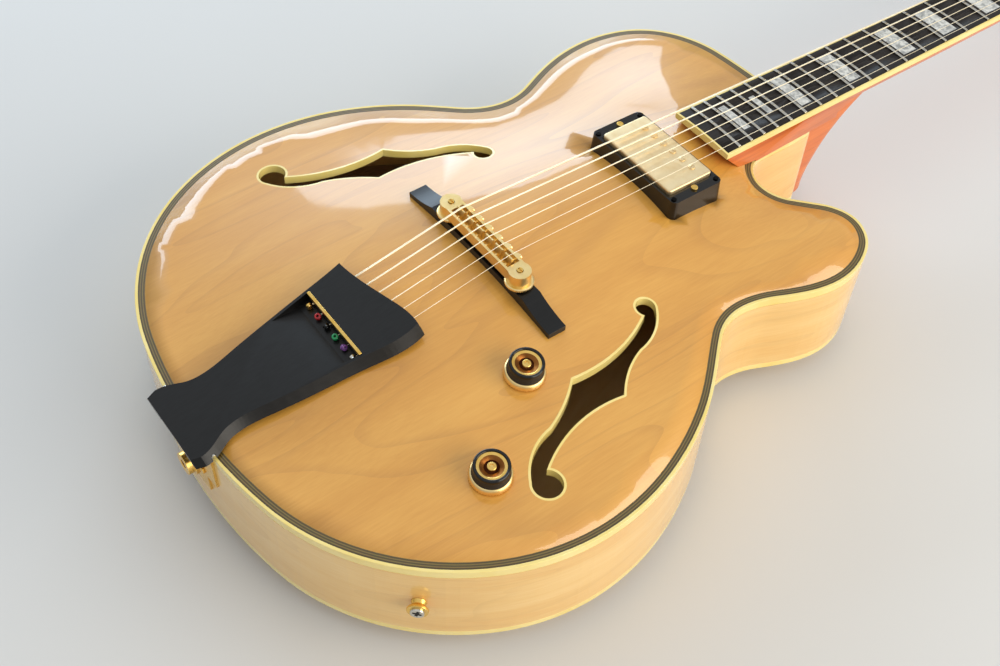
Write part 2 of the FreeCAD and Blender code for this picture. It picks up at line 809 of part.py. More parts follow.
def casing_lug(x, y):
    return Vec(x, y - CASING_L * CASING_NEAR_SHARE, -HEAD_T)


# Shares of the casing's length on either side of the worm, and of its depth and width
CASING_NEAR_SHARE = 0.36
CASING_FAR_SHARE = 0.64
POST_FOOT_SHARE = 0.8
WORM_IN_SHARE = 0.7


def casing_shape(side, x, y):
    floor, half = -HEAD_T, CASING_W / 2
    low, high = y - CASING_L * CASING_NEAR_SHARE, y + CASING_L * CASING_FAR_SHARE
    casing = box(x - half, x + half, low, high, floor - CASING_T, floor)
    lower = [edge for edge in casing.Edges if edge.BoundBox.ZMax < floor - CASING_T / 4]
    casing = casing.makeChamfer(CASING_CHAMFER, lower)
    lug = cylinder(LUG_R, casing_lug(x, y), -UP, LUG_T)
    worm = Vec(x + side * (half + OVERRUN), y + WORM_OFFSET, floor - CASING_T / 2)
    depth = CASING_W * WORM_IN_SHARE + OVERRUN + SEAT_GAP
    worm_bore = cylinder(WORM_R + RUNNING_GAP, worm, ACROSS * -side, depth)
    foot = floor - CASING_T * POST_FOOT_SHARE
    post_bore = cylinder(POST_R + RUNNING_GAP, Vec(x, y, foot - SEAT_GAP), UP, CASING_T)
    return fuse([casing, lug]).cut([worm_bore, post_bore])


def bushing_shape(x, y):
    sleeve = cylinder(BUSHING_R, Vec(x, y, VENEER_T - BUSHING_L), UP, BUSHING_L)
    flange = cylinder(BUSHING_FLANGE_R, Vec(x, y, VENEER_T), UP, BUSHING_FLANGE_T)
    return fuse([sleeve, flange]).cut(cylinder(POST_R + RUNNING_GAP, Vec(x, y, -HEAD_T), UP, HEAD_T * 2))


def make_tuners():
    pieces, casings = {}, []
    for index, (side, x, y) in enumerate(tuner_places()):
        number = STRING_COUNT - index
        foot = -HEAD_T - CASING_T * POST_FOOT_SHARE
        post = cylinder(POST_R, Vec(x, y, foot), UP, POST_RISE + VENEER_T - foot)
        eye_start = Vec(x - POST_R * 2, y, VENEER_T + POST_RISE * EYE_SHARE)
        eye = cylinder(POST_HOLE_R, eye_start, ACROSS, POST_R * 4)
        pieces["tuner_post_%d" % number] = to_head(post.cut(eye))
        casings.append(to_head(casing_shape(side, x, y)).cut(stems(casing_screws())))
        casings.append(to_head(bushing_shape(x, y)))
        worm = Vec(x + side * CASING_W / 2, y + WORM_OFFSET, -HEAD_T - CASING_T / 2)
        reach_in = CASING_W * WORM_IN_SHARE
        reach_out = head_half(worm.y) - abs(worm.x) + SHAFT_REACH
        shaft = cylinder(WORM_R, worm - ACROSS * (side * reach_in), ACROSS * side, reach_in + reach_out)
        button = button_shape(side)
        button.translate(worm + ACROSS * (side * (reach_out - WORM_R)))
        pieces["tuner_button_%d" % number] = to_head(fuse([shaft, button]))
    pieces["tuner_casings"] = group(casings)
    return pieces


# Outline of a tuner button beside its shaft: shares of its length and half width, in round stretches
BUTTON_SHARES = (((0.1, -0.5), (0.5, -1.0), (0.9, -0.6)), ((0.9, -0.6), (1.0, 0.0), (0.9, 0.6)),
                 ((0.9, 0.6), (0.5, 1.0), (0.1, 0.5)), ((0.1, 0.5), (0.0, 0.0), (0.1, -0.5)))


def button_shape(side):
    edges = []
    for shares in BUTTON_SHARES:
        places = [Vec(side * BUTTON_L * x, BUTTON_HALF_W * y, -BUTTON_T / 2) for x, y in shares]
        edges.append(Part.Arc(*places).toShape())
    return Part.Face(Part.Wire(edges)).extrude(UP * BUTTON_T)


# Bridge, drawn upright

def make_bridge(body):
    half_w = BASE_W / 2
    end_top = body.seat(BASE_HALF, 0)[0].z + BASE_END_T
    top = [Vec(BASE_FLAT_HALF, -half_w, BASE_TOP), Vec((BASE_HALF + BASE_FLAT_HALF) / 2, -half_w,
           (BASE_TOP + end_top) / 2 - BASE_END_T / 3), Vec(BASE_HALF, -half_w, end_top)]
    left = [Vec(-point.x, point.y, point.z) for point in reversed(top)]
    floor = [Vec(BASE_HALF, -half_w, 0), Vec(-BASE_HALF, -half_w, 0)]
    wire = Part.Wire([spline(top), Part.makePolygon([top[-1]] + floor + [left[0]]), spline(left),
                      Part.makeLine(left[-1], top[0])])
    base = Part.Face(wire).extrude(ALONG * BASE_W).cut(body.under_top)
    posts, wheels, post_holes, seats = [], [], [], []
    wheel_low = BASE_TOP + WHEEL_LIFT
    foot = BASE_TOP - BASE_END_T
    for side in (-1, 1):
        x = side * POST_SPACING / 2
        post = cylinder(BRIDGE_POST_R, Vec(x, 0, foot), UP, BRIDGE_POST_TOP - foot)
        slot = box(x - BRIDGE_POST_R * 2, x + BRIDGE_POST_R * 2, -DRIVER_SLOT_W / 2, DRIVER_SLOT_W / 2,
                   BRIDGE_POST_TOP - BRIDGE_POST_R / 2, BRIDGE_POST_TOP + OVERRUN)
        posts.append(post.cut(slot))
        wheel = cylinder(WHEEL_R, Vec(x, 0, wheel_low), UP, WHEEL_T)
        wheels.append(wheel.cut(cylinder(BRIDGE_POST_R + RUNNING_GAP, Vec(x, 0, 0), UP, DEEP)))
        post_holes.append(cylinder(BRIDGE_POST_R + SEAT_GAP, Vec(x, 0, 0), UP, DEEP))
        seats.append(cylinder(BRIDGE_POST_R, Vec(x, 0, foot), UP, DEEP))
    pieces = {"bridge_base": base.cut(seats), "bridge_posts": group(posts), "bass_thumbwheel": wheels[0],
              "treble_thumbwheel": wheels[1]}
    pieces.update(make_bridge_top(post_holes))
    return pieces


def string_x(index):
    return spread_x(BRIDGE_SPREAD, index)


def string_saddle_z():
    return neck_point(Vec(0, 0, SADDLE_RISE)).z


def make_bridge_top(post_holes):
    half_w = FRAME_W / 2
    middle = box(-POST_SPACING / 2, POST_SPACING / 2, -half_w, half_w, FRAME_BOTTOM, FRAME_TOP)
    ends = []
    for side in (-1, 1):
        ends.append(cylinder(FRAME_END_R, Vec(side * POST_SPACING / 2, 0, FRAME_BOTTOM), UP, FRAME_T))
    inner = half_w - FRAME_WALL
    front = inner + FRAME_BUMP_R
    channel = box(-CHANNEL_HALF, CHANNEL_HALF, -inner, inner, FRAME_BOTTOM + FRAME_FLOOR, FRAME_TOP + OVERRUN)
    screw_z = FRAME_BOTTOM + FRAME_FLOOR + (FRAME_T - FRAME_FLOOR) / 2
    screws, saddles, screw_holes = [], {}, []
    for index in range(STRING_COUNT):
        x = string_x(index)
        start = Vec(x, -half_w, screw_z)
        stem = cylinder(SADDLE_SCREW_R, start, ALONG, half_w + front)
        head = cylinder(SADDLE_HEAD_R, Vec(x, front, screw_z), ALONG, SADDLE_HEAD_T)
        ends.append(cylinder(FRAME_BUMP_R, Vec(x, inner, FRAME_BOTTOM), UP, FRAME_T))
        screws.append(fuse([stem, head]))
        screw_holes.append(stem)
        saddles["saddle_%d" % (STRING_COUNT - index)] = saddle_shape(index, screw_z)
    frame = fuse([middle] + ends).cut([channel] + post_holes + screw_holes)
    pieces = {"bridge_frame": frame, "saddle_screws": group(screws)}
    pieces.update(saddles)
    return pieces


def saddle_shape(index, screw_z):
    x = string_x(index)
    crest = string_saddle_z() - STRING_RADII[index] - SEAT_GAP
    half, low = SADDLE_T / 2, FRAME_BOTTOM + FRAME_FLOOR + SEAT_GAP
    shoulder = FRAME_TOP - SADDLE_T / 2
    side = [(-half, low), (half, low), (half, shoulder)]
    side += [(half / 4, crest), (-half / 4, crest), (-half, shoulder)]
    block = polygon_prism([Vec(x - SADDLE_W / 2, y, z) for y, z in side], ACROSS * SADDLE_W)
    return block.cut(cylinder(SADDLE_SCREW_R + RUNNING_GAP, Vec(x, -FRAME_W, screw_z), ALONG, FRAME_W * 2))


# Pickup and its ring, tilted with the strings about the pickup's middle

def to_pickup(shape):
    placed = shape.copy()
    placed.rotate(ORIGIN, ACROSS, -NECK_ANGLE)
    placed.translate(Vec(0, PICKUP_Y, 0))
    return placed


def rounded_block(width, length, z_low, z_high, radius):
    block = box(-width / 2, width / 2, -length / 2, length / 2, z_low, z_high)
    return block.makeFillet(radius, [edge for edge in block.Edges if edge.BoundBox.ZLength > radius])


def ear_block(gap, z_low, z_high):
    return box(-EAR_W / 2 - gap, EAR_W / 2 + gap, -EAR_L / 2 - gap, EAR_L / 2 + gap, z_low, z_high)


def pickup_room():
    room = rounded_block(PICKUP_W + OVERRUN * 2, PICKUP_L + OVERRUN * 2, -DEEP / 2, DEEP, PICKUP_FILLET)
    return to_pickup(room.fuse(ear_block(OVERRUN, -DEEP / 2, DEEP)))


def pickup_opening():
    opening = rounded_block(PICKUP_W + RING_GAP * 2, PICKUP_L + RING_GAP * 2, -DEEP / 2, DEEP, PICKUP_FILLET)
    return to_pickup(opening.fuse(ear_block(RING_GAP, -DEEP / 2, DEEP)))


def ring_wire(grow, z):
    half_w, half_l = RING_W / 2 + grow, RING_L / 2 + grow
    block = box(-half_w, half_w, -half_l, half_l, z, z + OVERRUN)
    upright = [edge for edge in block.Edges if edge.BoundBox.ZLength > OVERRUN / 2]
    block = block.makeFillet(RING_CORNER + grow, upright)
    face = [face for face in block.Faces if face.BoundBox.ZMax < z + OVERRUN / 2][0]
    return face.OuterWire


def make_pickup(body):
    ring = Part.makeLoft([ring_wire(RING_FLARE, 0), ring_wire(0, RING_TOP)], True, True)
    window = rounded_block(PICKUP_W + RING_GAP * 2, PICKUP_L + RING_GAP * 2, -DEEP, DEEP, PICKUP_FILLET)
    ear_room = ear_block(RING_GAP, -DEEP, RING_TOP - EAR_T * 2)
    screws, holes, ear_holes, poles = [], [], [], []
    ear_z = PICKUP_TOP - PICKUP_H
    for side in (-1, 1):
        x = side * HEIGHT_SCREW_X
        stem = cylinder(HEIGHT_SCREW_R, Vec(x, 0, ear_z - EAR_T * 2), UP, RING_TOP - ear_z + EAR_T * 2)
        head = cylinder(SCREW_HEAD_R, Vec(x, 0, RING_TOP), UP, SCREW_HEAD_T)
        screws.append(to_pickup(fuse([stem, head])))
        holes.append(cylinder(HEIGHT_SCREW_R, Vec(x, 0, -DEEP), UP, DEEP * 2))
        ear_holes.append(cylinder(HEIGHT_SCREW_R + RUNNING_GAP, Vec(x, 0, 0), UP, DEEP))
    ring = to_pickup(ring.cut([window, ear_room] + holes)).cut([body.under_top] + stems(ring_screws()))
    cover = rounded_block(PICKUP_W, PICKUP_L, ear_z, PICKUP_TOP, PICKUP_FILLET)
    rim = [edge for edge in cover.Edges if edge.BoundBox.ZMin > PICKUP_TOP - OVERRUN / 4]
    cover = cover.makeFillet(PICKUP_FILLET / 2, rim)
    ears = ear_block(0, ear_z, ear_z + EAR_T)
    for index in range(STRING_COUNT):
        pole_x = spread_x((BRIDGE_SPREAD + NUT_SPREAD) / 2 + POLE_R * 2, index)
        pole = Vec(pole_x, POLE_OFFSET, PICKUP_TOP - OVERRUN)
        poles.append(cylinder(POLE_R, pole, UP, OVERRUN + POLE_RISE))
    pickup = fuse([cover, ears] + poles).cut(ear_holes)
    return {"pickup_ring": max(ring.Solids, key=lambda solid: solid.Volume), "pickup_screws": group(screws),
            "pickup": to_pickup(pickup)}


# Controls, drawn upright at the origin and then set square to the arch

def to_seat(shape, point, normal):
    placed = shape.copy()
    placed.Placement = FreeCAD.Placement(point, FreeCAD.Rotation(UP, normal)).multiply(placed.Placement)
    return placed


def knob_shape():
    top = KNOB_LIFT + KNOB_H
    skirt = KNOB_LIFT + SKIRT_T
    dish, boss = top - DISH_DEPTH, top - DISH_DEPTH / 2
    profile = [(0, KNOB_LIFT), (0, boss), (BOSS_R, boss), (BOSS_R, dish), (DISH_R, top), (GRIP_TOP_R, top),
               (GRIP_R, skirt), (SKIRT_R, skirt - SKIRT_T / 3), (SKIRT_R, KNOB_LIFT)]
    return revolve([Vec(radius, 0, height) for radius, height in profile], ORIGIN, UP)


def make_controls(body):
    pieces, pots = {}, []
    for name, x, y in knob_places():
        point, normal = body.seat(x, y)
        shaft_low = -TOP_T - POT_T / 2
        shaft = cylinder(SHAFT_R, Vec(0, 0, shaft_low), UP, KNOB_LIFT + SKIRT_T - shaft_low)
        pieces[name + "_knob"] = to_seat(fuse([knob_shape(), shaft]), point, normal)
        case = cylinder(POT_R, Vec(0, 0, -TOP_T - POT_T - SEAT_GAP), UP, POT_T)
        thread = cylinder(THREAD_R, Vec(0, 0, -TOP_T - OVERRUN), UP, TOP_T + OVERRUN + KNOB_LIFT / 2)
        bore = cylinder(SHAFT_R + RUNNING_GAP, Vec(0, 0, shaft_low - SEAT_GAP), UP, DEEP)
        pots.append(to_seat(fuse([case, thread]).cut(bore), point, normal))
    pieces["potentiometers"] = group(pots)
    return pieces


# Tail, with the tailpiece drawn level about its hinge pin and then tilted

def to_tail(shape):
    placed = shape.copy()
    placed.rotate(ORIGIN, ACROSS, TAILPIECE_TILT)
    placed.translate(Vec(0, PIN_Y, PIN_Z))
    return placed


def tail_point(point):
    return FreeCAD.Rotation(ACROSS, TAILPIECE_TILT).multVec(point) + Vec(0, PIN_Y, PIN_Z)


# Half outline of the tailpiece: shares of its half width, and of its length ahead of the pin
TAIL_SIDE_SHARES = ((0.985, 0.93), (0.89, 0.75), (0.785, 0.54), (0.66, 0.32), (0.59, 0.165), (0.64, 0.09),
                    (0.76, 0.03), (0.84, -0.045))
TAIL_CORNER_SHARE = 0.78
PIN_REACH_SHARE = 0.9
WEB_TOP_SHARE = 0.6


# Front edge of the tailpiece from bass to treble: shares of its half width, then of the skew and the bevel
TAIL_FRONT_SHARES = ((-1.0, -1.0, 0.2), (-0.5, -0.55, 0.5), (0.15, 0.45, 0.5), (0.7, 1.05, 0.5),
                     (0.93, 1.0, 0.2))


# How much further out the bass side is than the treble side
def bass_extra(y):
    return TAIL_BASS_EXTRA * max(0, y) / TAIL_FRONT


def tail_wire(grow, level_pin, level_front):
    def place(x, y):
        return Vec(x, y, level_pin + (level_front - level_pin) * y / TAIL_FRONT)
    right = [place(TAIL_HALF * x + grow, TAIL_FRONT * y) for x, y in TAIL_SIDE_SHARES]
    left = [Vec(-point.x - bass_extra(point.y), point.y, point.z) for point in reversed(right)]
    front = []
    for x, skew, bevel in TAIL_FRONT_SHARES:
        across = TAIL_HALF * x + grow * round(x) + TAIL_BASS_EXTRA * min(0, x)
        front.append(place(across, TAIL_FRONT + TAIL_FRONT_SKEW * skew + grow * bevel))
    corner = TAIL_HALF * TAIL_CORNER_SHARE + grow
    tail = [right[-1], place(corner, -TAIL_BACK), place(-corner, -TAIL_BACK), left[0]]
    sides = [spline([front[-1]] + right), Part.makePolygon(tail), spline(left + [front[0]])]
    return Part.Wire([spline(front)] + sides)


def tail_half(y):
    points = [(TAIL_HALF * x, TAIL_FRONT * share) for x, share in TAIL_SIDE_SHARES]
    for far, near in zip(points, points[1:]):
        if near[1] <= y <= far[1]:
            return near[0] + (far[0] - near[0]) * (y - near[1]) / (far[1] - near[1])
    return TAIL_HALF


# The ramp that drops from the top of the tailpiece to the string bar, with a rim on either side
def tail_well():
    start, floor = BAR_SEAT - WELL_L, TAIL_TOP - WELL_DEPTH
    near, far = tail_half(start) - WELL_RIM, tail_half(BAR_SEAT) - WELL_RIM
    plan = [Vec(-near - bass_extra(start), start, floor), Vec(near, start, floor)]
    plan += [Vec(far, BAR_SEAT, floor), Vec(-far - bass_extra(BAR_SEAT), BAR_SEAT, floor)]
    side = [(start, TAIL_TOP), (BAR_SEAT - BALL_R * 4, floor), (BAR_SEAT, floor),
            (BAR_SEAT, TAIL_TOP + OVERRUN), (start, TAIL_TOP + OVERRUN)]
    ramp = polygon_prism([Vec(-TAIL_HALF * 2, y, z) for y, z in side], ACROSS * (TAIL_HALF * 4))
    return polygon_prism(plan, UP * DEEP).common(ramp)


def string_ball(index):
    height = TAIL_TOP - WELL_DEPTH + BALL_R + RUNNING_GAP
    return Vec(spread_x(BALL_SPREAD, index), BAR_SEAT - BALL_L, height)


def make_tailpiece():
    solid = Part.makeLoft([tail_wire(TAIL_BEVEL, TAIL_TOP - TAIL_T, TAIL_TOP - TAIL_FRONT_T),
                           tail_wire(0, TAIL_TOP, TAIL_TOP)], True, True)
    corner = TAIL_HALF * TAIL_CORNER_SHARE
    lip = box(-corner, corner, -TAIL_BACK, TAIL_LIP_L - TAIL_BACK, -TAIL_LIP_DROP, TAIL_TOP / 2)
    half = tail_half(BAR_SEAT) - WELL_RIM
    bass = -half - bass_extra(BAR_SEAT)
    seat = box(bass, half, BAR_SEAT, BAR_SEAT + STRING_BAR_W, TAIL_TOP - STRING_BAR_H, TAIL_TOP + OVERRUN)
    room, reach = KNUCKLE_R + SEAT_GAP, KNUCKLE_HALF + SEAT_GAP
    knuckle = cylinder(room, Vec(-reach, 0, 0), ACROSS, reach * 2)
    below = box(-reach, reach, -TAIL_BACK * 2, room, -TAIL_BACK, KNUCKLE_ROOM)
    pin = cylinder(PIN_R + RUNNING_GAP, Vec(-TAIL_HALF * 2, 0, 0), ACROSS, TAIL_HALF * 4)
    holes, balls = [], []
    for index in range(STRING_COUNT):
        ball = string_ball(index)
        start = tail_point(ball)
        holes.append(cylinder(STRING_HOLE_R, start, string_rest(index) - start, TAIL_FRONT))
        barrel = cylinder(BALL_R, ball - ACROSS * (BALL_L / 2), ACROSS, BALL_L)
        balls.append(to_tail(barrel.cut(cylinder(BALL_R / 2, ball - ACROSS * BALL_L, ACROSS, BALL_L * 2))))
    body = to_tail(fuse([solid, lip]).cut([tail_well(), seat, knuckle, below, pin])).cut(holes)
    bar = box(bass, half, BAR_SEAT, BAR_SEAT + STRING_BAR_W, TAIL_TOP - STRING_BAR_H, TAIL_TOP + STEP_DEPTH)
    return {"tailpiece": body, "string_bar": to_tail(bar), "ball_ends": group(balls)}


def jack_hole():
    start = Vec(0, -TAIL_TO_BRIDGE - BRACKET_T * 2, -JACK_DROP)
    return cylinder(JACK_R, start, ALONG, TAIL_BLOCK_L * 2)


def make_bracket():
    behind = -TAIL_TO_BRIDGE - BRACKET_T * 2
    band = outline_ring(-BRACKET_T, 0, -BRACKET_TONGUE_LOW, -BRACKET_HIGH)
    wide = box(-BRACKET_HALF, BRACKET_HALF, behind, 0, -BRACKET_LOW, -BRACKET_HIGH)
    tongue = box(-BRACKET_TONGUE_HALF, BRACKET_TONGUE_HALF, behind, PIN_Y, -BRACKET_TONGUE_LOW, -BRACKET_HIGH)
    tail_end = box(-BRACKET_HALF, BRACKET_HALF, behind, PIN_Y / 2, -DEEP, DEEP)
    plate = band.common(wide.fuse(tongue)).common(tail_end)
    web = box(-KNUCKLE_HALF, KNUCKLE_HALF, -TAIL_TO_BRIDGE - BRACKET_T, PIN_Y, -BRACKET_HIGH - BRACKET_T,
              PIN_Z - KNUCKLE_R * WEB_TOP_SHARE)
    knuckle = cylinder(KNUCKLE_R, Vec(-KNUCKLE_HALF, PIN_Y, PIN_Z), ACROSS, KNUCKLE_HALF * 2)
    pin = cylinder(PIN_R, Vec(-TAIL_HALF, PIN_Y, PIN_Z), ACROSS, TAIL_HALF * 2)
    cuts = [pin, jack_hole(), outline_prism(0, -DEEP, BRACKET_LIFT)] + stems(bracket_screws())
    return fuse([plate, web, knuckle]).cut(cuts)


def make_tail_hardware():
    reach = TAIL_HALF * PIN_REACH_SHARE
    pin = cylinder(PIN_R, Vec(-reach, PIN_Y, PIN_Z), ACROSS, reach * 2)
    place = Vec(0, -TAIL_TO_BRIDGE - BRACKET_T - SEAT_GAP, -JACK_DROP)
    barrel = cylinder(JACK_R, place, ALONG, JACK_L)
    flange = cylinder(JACK_FLANGE_R, place, -ALONG, JACK_FLANGE_T)
    collar = cylinder(JACK_NUT_R, place - ALONG * JACK_FLANGE_T, -ALONG, JACK_NUT_T)
    mouth = place - ALONG * (JACK_FLANGE_T + JACK_NUT_T)
    jack = fuse([barrel, flange, collar]).cut(cylinder(JACK_BORE_R, mouth, ALONG, JACK_BORE_L))
    return {"tailpiece_bracket": make_bracket(), "tailpiece_pin": pin, "output_jack": jack}


# Strings, one straight run from ball to saddle, one to the nut and one to the tuner post

def string_rest(index):
    return Vec(string_x(index), 0, string_saddle_z())


def string_nut(index):
    return neck_point(Vec(spread_x(NUT_SPREAD, index), NUT_Y + NUT_T / 2, STRING_RISE_NUT))


def string_post(index):
    side, x, y = tuner_places()[index]
    reach = POST_R + STRING_RADII[index] + SEAT_GAP
    return head_point(Vec(x - side * reach, y, VENEER_T + POST_RISE * WIND_SHARE))


def string_shape(index):
    ball = tail_point(string_ball(index))
    rest, nut, post = string_rest(index), string_nut(index), string_post(index)
    forward = rest - ball
    forward.normalize()
    points = [ball + forward * (BALL_R + SEAT_GAP), rest, nut, post]
    path = Part.makePolygon(points)
    circle = Part.Wire([Part.Circle(points[0], forward, STRING_RADII[index]).toShape()])
    pipe = Part.BRepOffsetAPI.MakePipeShell(path)
    pipe.add(circle)
    pipe.setTransitionMode(1)
    pipe.build()
    pipe.makeSolid()
    return pipe.shape()


def make_strings():
    return {"strings": group([string_shape(index) for index in range(STRING_COUNT)])}


# Strap buttons and screws

# Profile of a strap button: shares of its neck or head radius, and of its height
STRAP_NECK_SHARES = ((1.3, 0.0), (1.0, 0.45))


def strap_shape():
    profile = [(0, 0)] + [(STRAP_NECK_R * radius, STRAP_H * height) for radius, height in STRAP_NECK_SHARES]
    profile += [(STRAP_R, STRAP_H - STRAP_FLANGE_T), (STRAP_R, STRAP_H), (0, STRAP_H)]
    return revolve([Vec(radius, 0, height) for radius, height in profile], ORIGIN, UP)


# The place on the lower rim at a given distance from the middle line, and the way out of it
def rim_seat(x_wanted, z):
    lower = box(-LOWER_HALF * 2, LOWER_HALF * 2, -BODY_LENGTH, -AXIS_TAIL, -OVERRUN, OVERRUN)
    rim = outline_wire(0, 0).common(lower)
    line = Part.makeLine(Vec(x_wanted, -BODY_LENGTH, 0), Vec(x_wanted, -AXIS_TAIL, 0))
    point = rim.distToShape(line)[1][0][0]
    ahead = min(rim.Edges, key=lambda edge: edge.distToShape(Part.Vertex(point))[0])
    forward = ahead.tangentAt(ahead.Curve.parameter(point))
    out = right_of(forward)
    if out.dot(point) < 0:
        out = out * -1
    return point + UP * z, out


def strap_seats():
    section = heel_section(*HEEL_SHARES[HEEL_BUTTON_SECTION])
    nose = section.Edges[0].Curve
    out = FreeCAD.Rotation(UP, HEEL_BUTTON_TURN).multVec(ALONG)
    place = nose.Center + out * (nose.Radius + SEAT_GAP)
    tilt = FreeCAD.Rotation(out.cross(UP), -HEEL_BUTTON_TILT)
    return [rim_seat(STRAP_X, -BUTTON_DROP), (place, tilt.multVec(out))]


def make_strap_buttons():
    bodies = [to_seat(strap_shape(), *seat) for seat in strap_seats()]
    return {"strap_buttons": group([button.cut(stems(strap_screws())) for button in bodies])}


# Each screw is the place under its head, the way its head points, and its stem's radius and length

def strap_screws():
    length = STRAP_H + WOOD_SCREW_L
    return [(point + out * STRAP_H, out, WOOD_SCREW_R, length) for point, out in strap_seats()]


def bracket_screws():
    screws = []
    for side in (-1, 1):
        point, out = rim_seat(side * BRACKET_SCREW_X, -BRACKET_SCREW_DROP)
        screws.append((point + out * BRACKET_T, out, WOOD_SCREW_R, WOOD_SCREW_L))
    return screws


def ring_screws():
    turn = FreeCAD.Rotation(ACROSS, -NECK_ANGLE)
    out, length = turn.multVec(UP), RING_TOP - TOP_T
    wide, long = RING_W / 2 - RING_CORNER, RING_L / 2 - RING_CORNER / 2 - FINE_SCREW_R
    screws = []
    for x in (-wide, wide):
        for y in (-long, long):
            corner = turn.multVec(Vec(x, y, RING_TOP)) + ALONG * PICKUP_Y
            screws.append((corner, out, FINE_SCREW_R, length))
    return screws


# Places of the rod cover's screws: shares of its half width and length
COVER_SCREW_SHARES = ((-0.7, 0.1), (0.7, 0.1), (0.0, 0.86))


def cover_screws():
    out = head_direction(UP)
    screws = []
    for x, y in COVER_SCREW_SHARES:
        spot = Vec(COVER_HALF * x, NUT_T / 2 + COVER_L * y, VENEER_T + COVER_T)
        screws.append((head_point(spot), out, FINE_SCREW_R, FINE_SCREW_L))
    return screws


def casing_screws():
    out = head_direction(-UP)
    reach = FINE_SCREW_R * SCREW_HEAD_SHARE + SEAT_GAP
    screws = []
    for _, x, y in tuner_places():
        spot = casing_lug(x, y) - UP * LUG_T - ALONG * reach
        screws.append((head_point(spot), out, FINE_SCREW_R, FINE_SCREW_L))
    return screws


def stems(screws):
    holes = []
    for place, out, radius, length in screws:
        holes.append(cylinder(radius, place + out * OVERRUN, -out, length + OVERRUN))
    return holes


def make_screws():
    solids = []
    screws = strap_screws() + bracket_screws() + ring_screws() + cover_screws() + casing_screws()
    for place, out, radius, length in screws:
        head = cylinder(radius * SCREW_HEAD_SHARE, place, out, radius * SCREW_DOME_SHARE)
        solids.append(fuse([head, cylinder(radius, place, -out, length)]))
    return {"small_screws": group(solids)}


def shifted(shape):
    moved = shape.copy()
    moved.translate(origin_shift())
    return moved


def origin_shift():
    tip = head_point(Vec(0, HEAD_LENGTH, VENEER_T)).y
    tail = tail_point(Vec(0, -TAIL_BACK, TAIL_TOP)).y
    return Vec(0, -(tip + tail) / 2, RIM_DEPTH + BACK_ARCH)


def make_all():
    body = Body()
    pieces = {}
    pieces.update(make_top(body))
    pieces.update(make_back(body))
    pieces.update(make_rims())
    pieces.update(make_inside(body))
    pieces.update(make_board())
    pieces.update(make_nut())
    pieces.update(make_neck(body))
    pieces.update(make_headstock())
    pieces.update(make_tuners())
    pieces.update(make_bridge(body))
    pieces.update(make_pickup(body))
    pieces.update(make_controls(body))
    pieces.update(make_tailpiece())
    pieces.update(make_tail_hardware())
    pieces.update(make_strings())
    pieces.update(make_strap_buttons())
    pieces.update(make_screws())
    return pieces


def main():
    os.makedirs("parts", exist_ok=True)
    for name, shape in make_all().items():
        shifted(shape).exportStep("parts/%s.step" % name)


if __name__ == "__main__":
    main()
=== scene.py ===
import json
import math

import bmesh
import bpy
from mathutils import Matrix, Vector
from mathutils.bvhtree import BVHTree


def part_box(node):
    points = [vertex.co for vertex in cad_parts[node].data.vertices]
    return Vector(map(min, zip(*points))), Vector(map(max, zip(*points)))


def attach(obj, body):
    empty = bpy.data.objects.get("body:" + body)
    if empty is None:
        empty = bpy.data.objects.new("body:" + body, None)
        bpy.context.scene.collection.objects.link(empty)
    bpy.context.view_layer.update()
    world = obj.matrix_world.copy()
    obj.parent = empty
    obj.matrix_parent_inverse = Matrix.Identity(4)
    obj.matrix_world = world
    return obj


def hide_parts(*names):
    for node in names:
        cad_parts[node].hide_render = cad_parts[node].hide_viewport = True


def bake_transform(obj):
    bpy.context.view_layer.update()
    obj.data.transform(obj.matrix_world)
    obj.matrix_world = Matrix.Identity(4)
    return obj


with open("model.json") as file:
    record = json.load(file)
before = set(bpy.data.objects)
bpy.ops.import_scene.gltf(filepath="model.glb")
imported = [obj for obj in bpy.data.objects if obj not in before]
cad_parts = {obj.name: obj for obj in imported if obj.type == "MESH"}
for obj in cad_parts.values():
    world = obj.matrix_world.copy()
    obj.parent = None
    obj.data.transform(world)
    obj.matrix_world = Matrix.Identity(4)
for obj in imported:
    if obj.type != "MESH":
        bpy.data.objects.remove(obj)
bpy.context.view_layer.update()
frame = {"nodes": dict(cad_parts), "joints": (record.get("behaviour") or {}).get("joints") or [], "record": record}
nodes = frame["nodes"]
record = frame["record"]
bodyOf = {node: body for body, members in record["behaviour"]["bodies"].items() for node in members}
jointOf = {joint["child"]: joint for joint in frame["joints"]}
strapMounts = [mount for mount in record["mounts"] if "strap" in mount["name"]]
print("frame loaded:", len(nodes), "nodes")

mm = 0.001
up = Vector((0, 0, 1))
fullTurn = 2 * math.pi
stringCount = 6
joinGap = 2e-6                                            # in metres: corners nearer than this are one
spinGap = 1e-6                                            # the same, where a turned shape closes
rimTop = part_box("top_binding")[1][2]                      # height of the top edge of the rim
postLow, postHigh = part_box("bridge_posts")
bridgeY = (postLow.y + postHigh.y) / 2                    # the bridge stands on this line


def hexColour(code):                                      # sRGB hex to linear
    channels = [int(code[i:i + 2], 16) / 255 for i in (1, 3, 5)]
    return [c / 12.92 if c <= 0.04045 else ((c + 0.055) / 1.055) ** 2.4 for c in channels] + [1.0]


def addNode(tree, kind, inputs=None, stops=None, **settings):
    node = tree.nodes.new(kind)
    for key, value in settings.items():
        setattr(node, key, value)
    for key, value in (inputs or {}).items():
        if isinstance(value, bpy.types.NodeSocket):
            tree.links.new(value, node.inputs[key])
        else:
            node.inputs[key].default_value = value
    if stops:
        band = node.color_ramp.elements
        while len(band) < len(stops):
            band.new(1.0)
        for element, (place, code) in zip(band, stops):
            element.position = place
            element.color = hexColour(code)
    return node


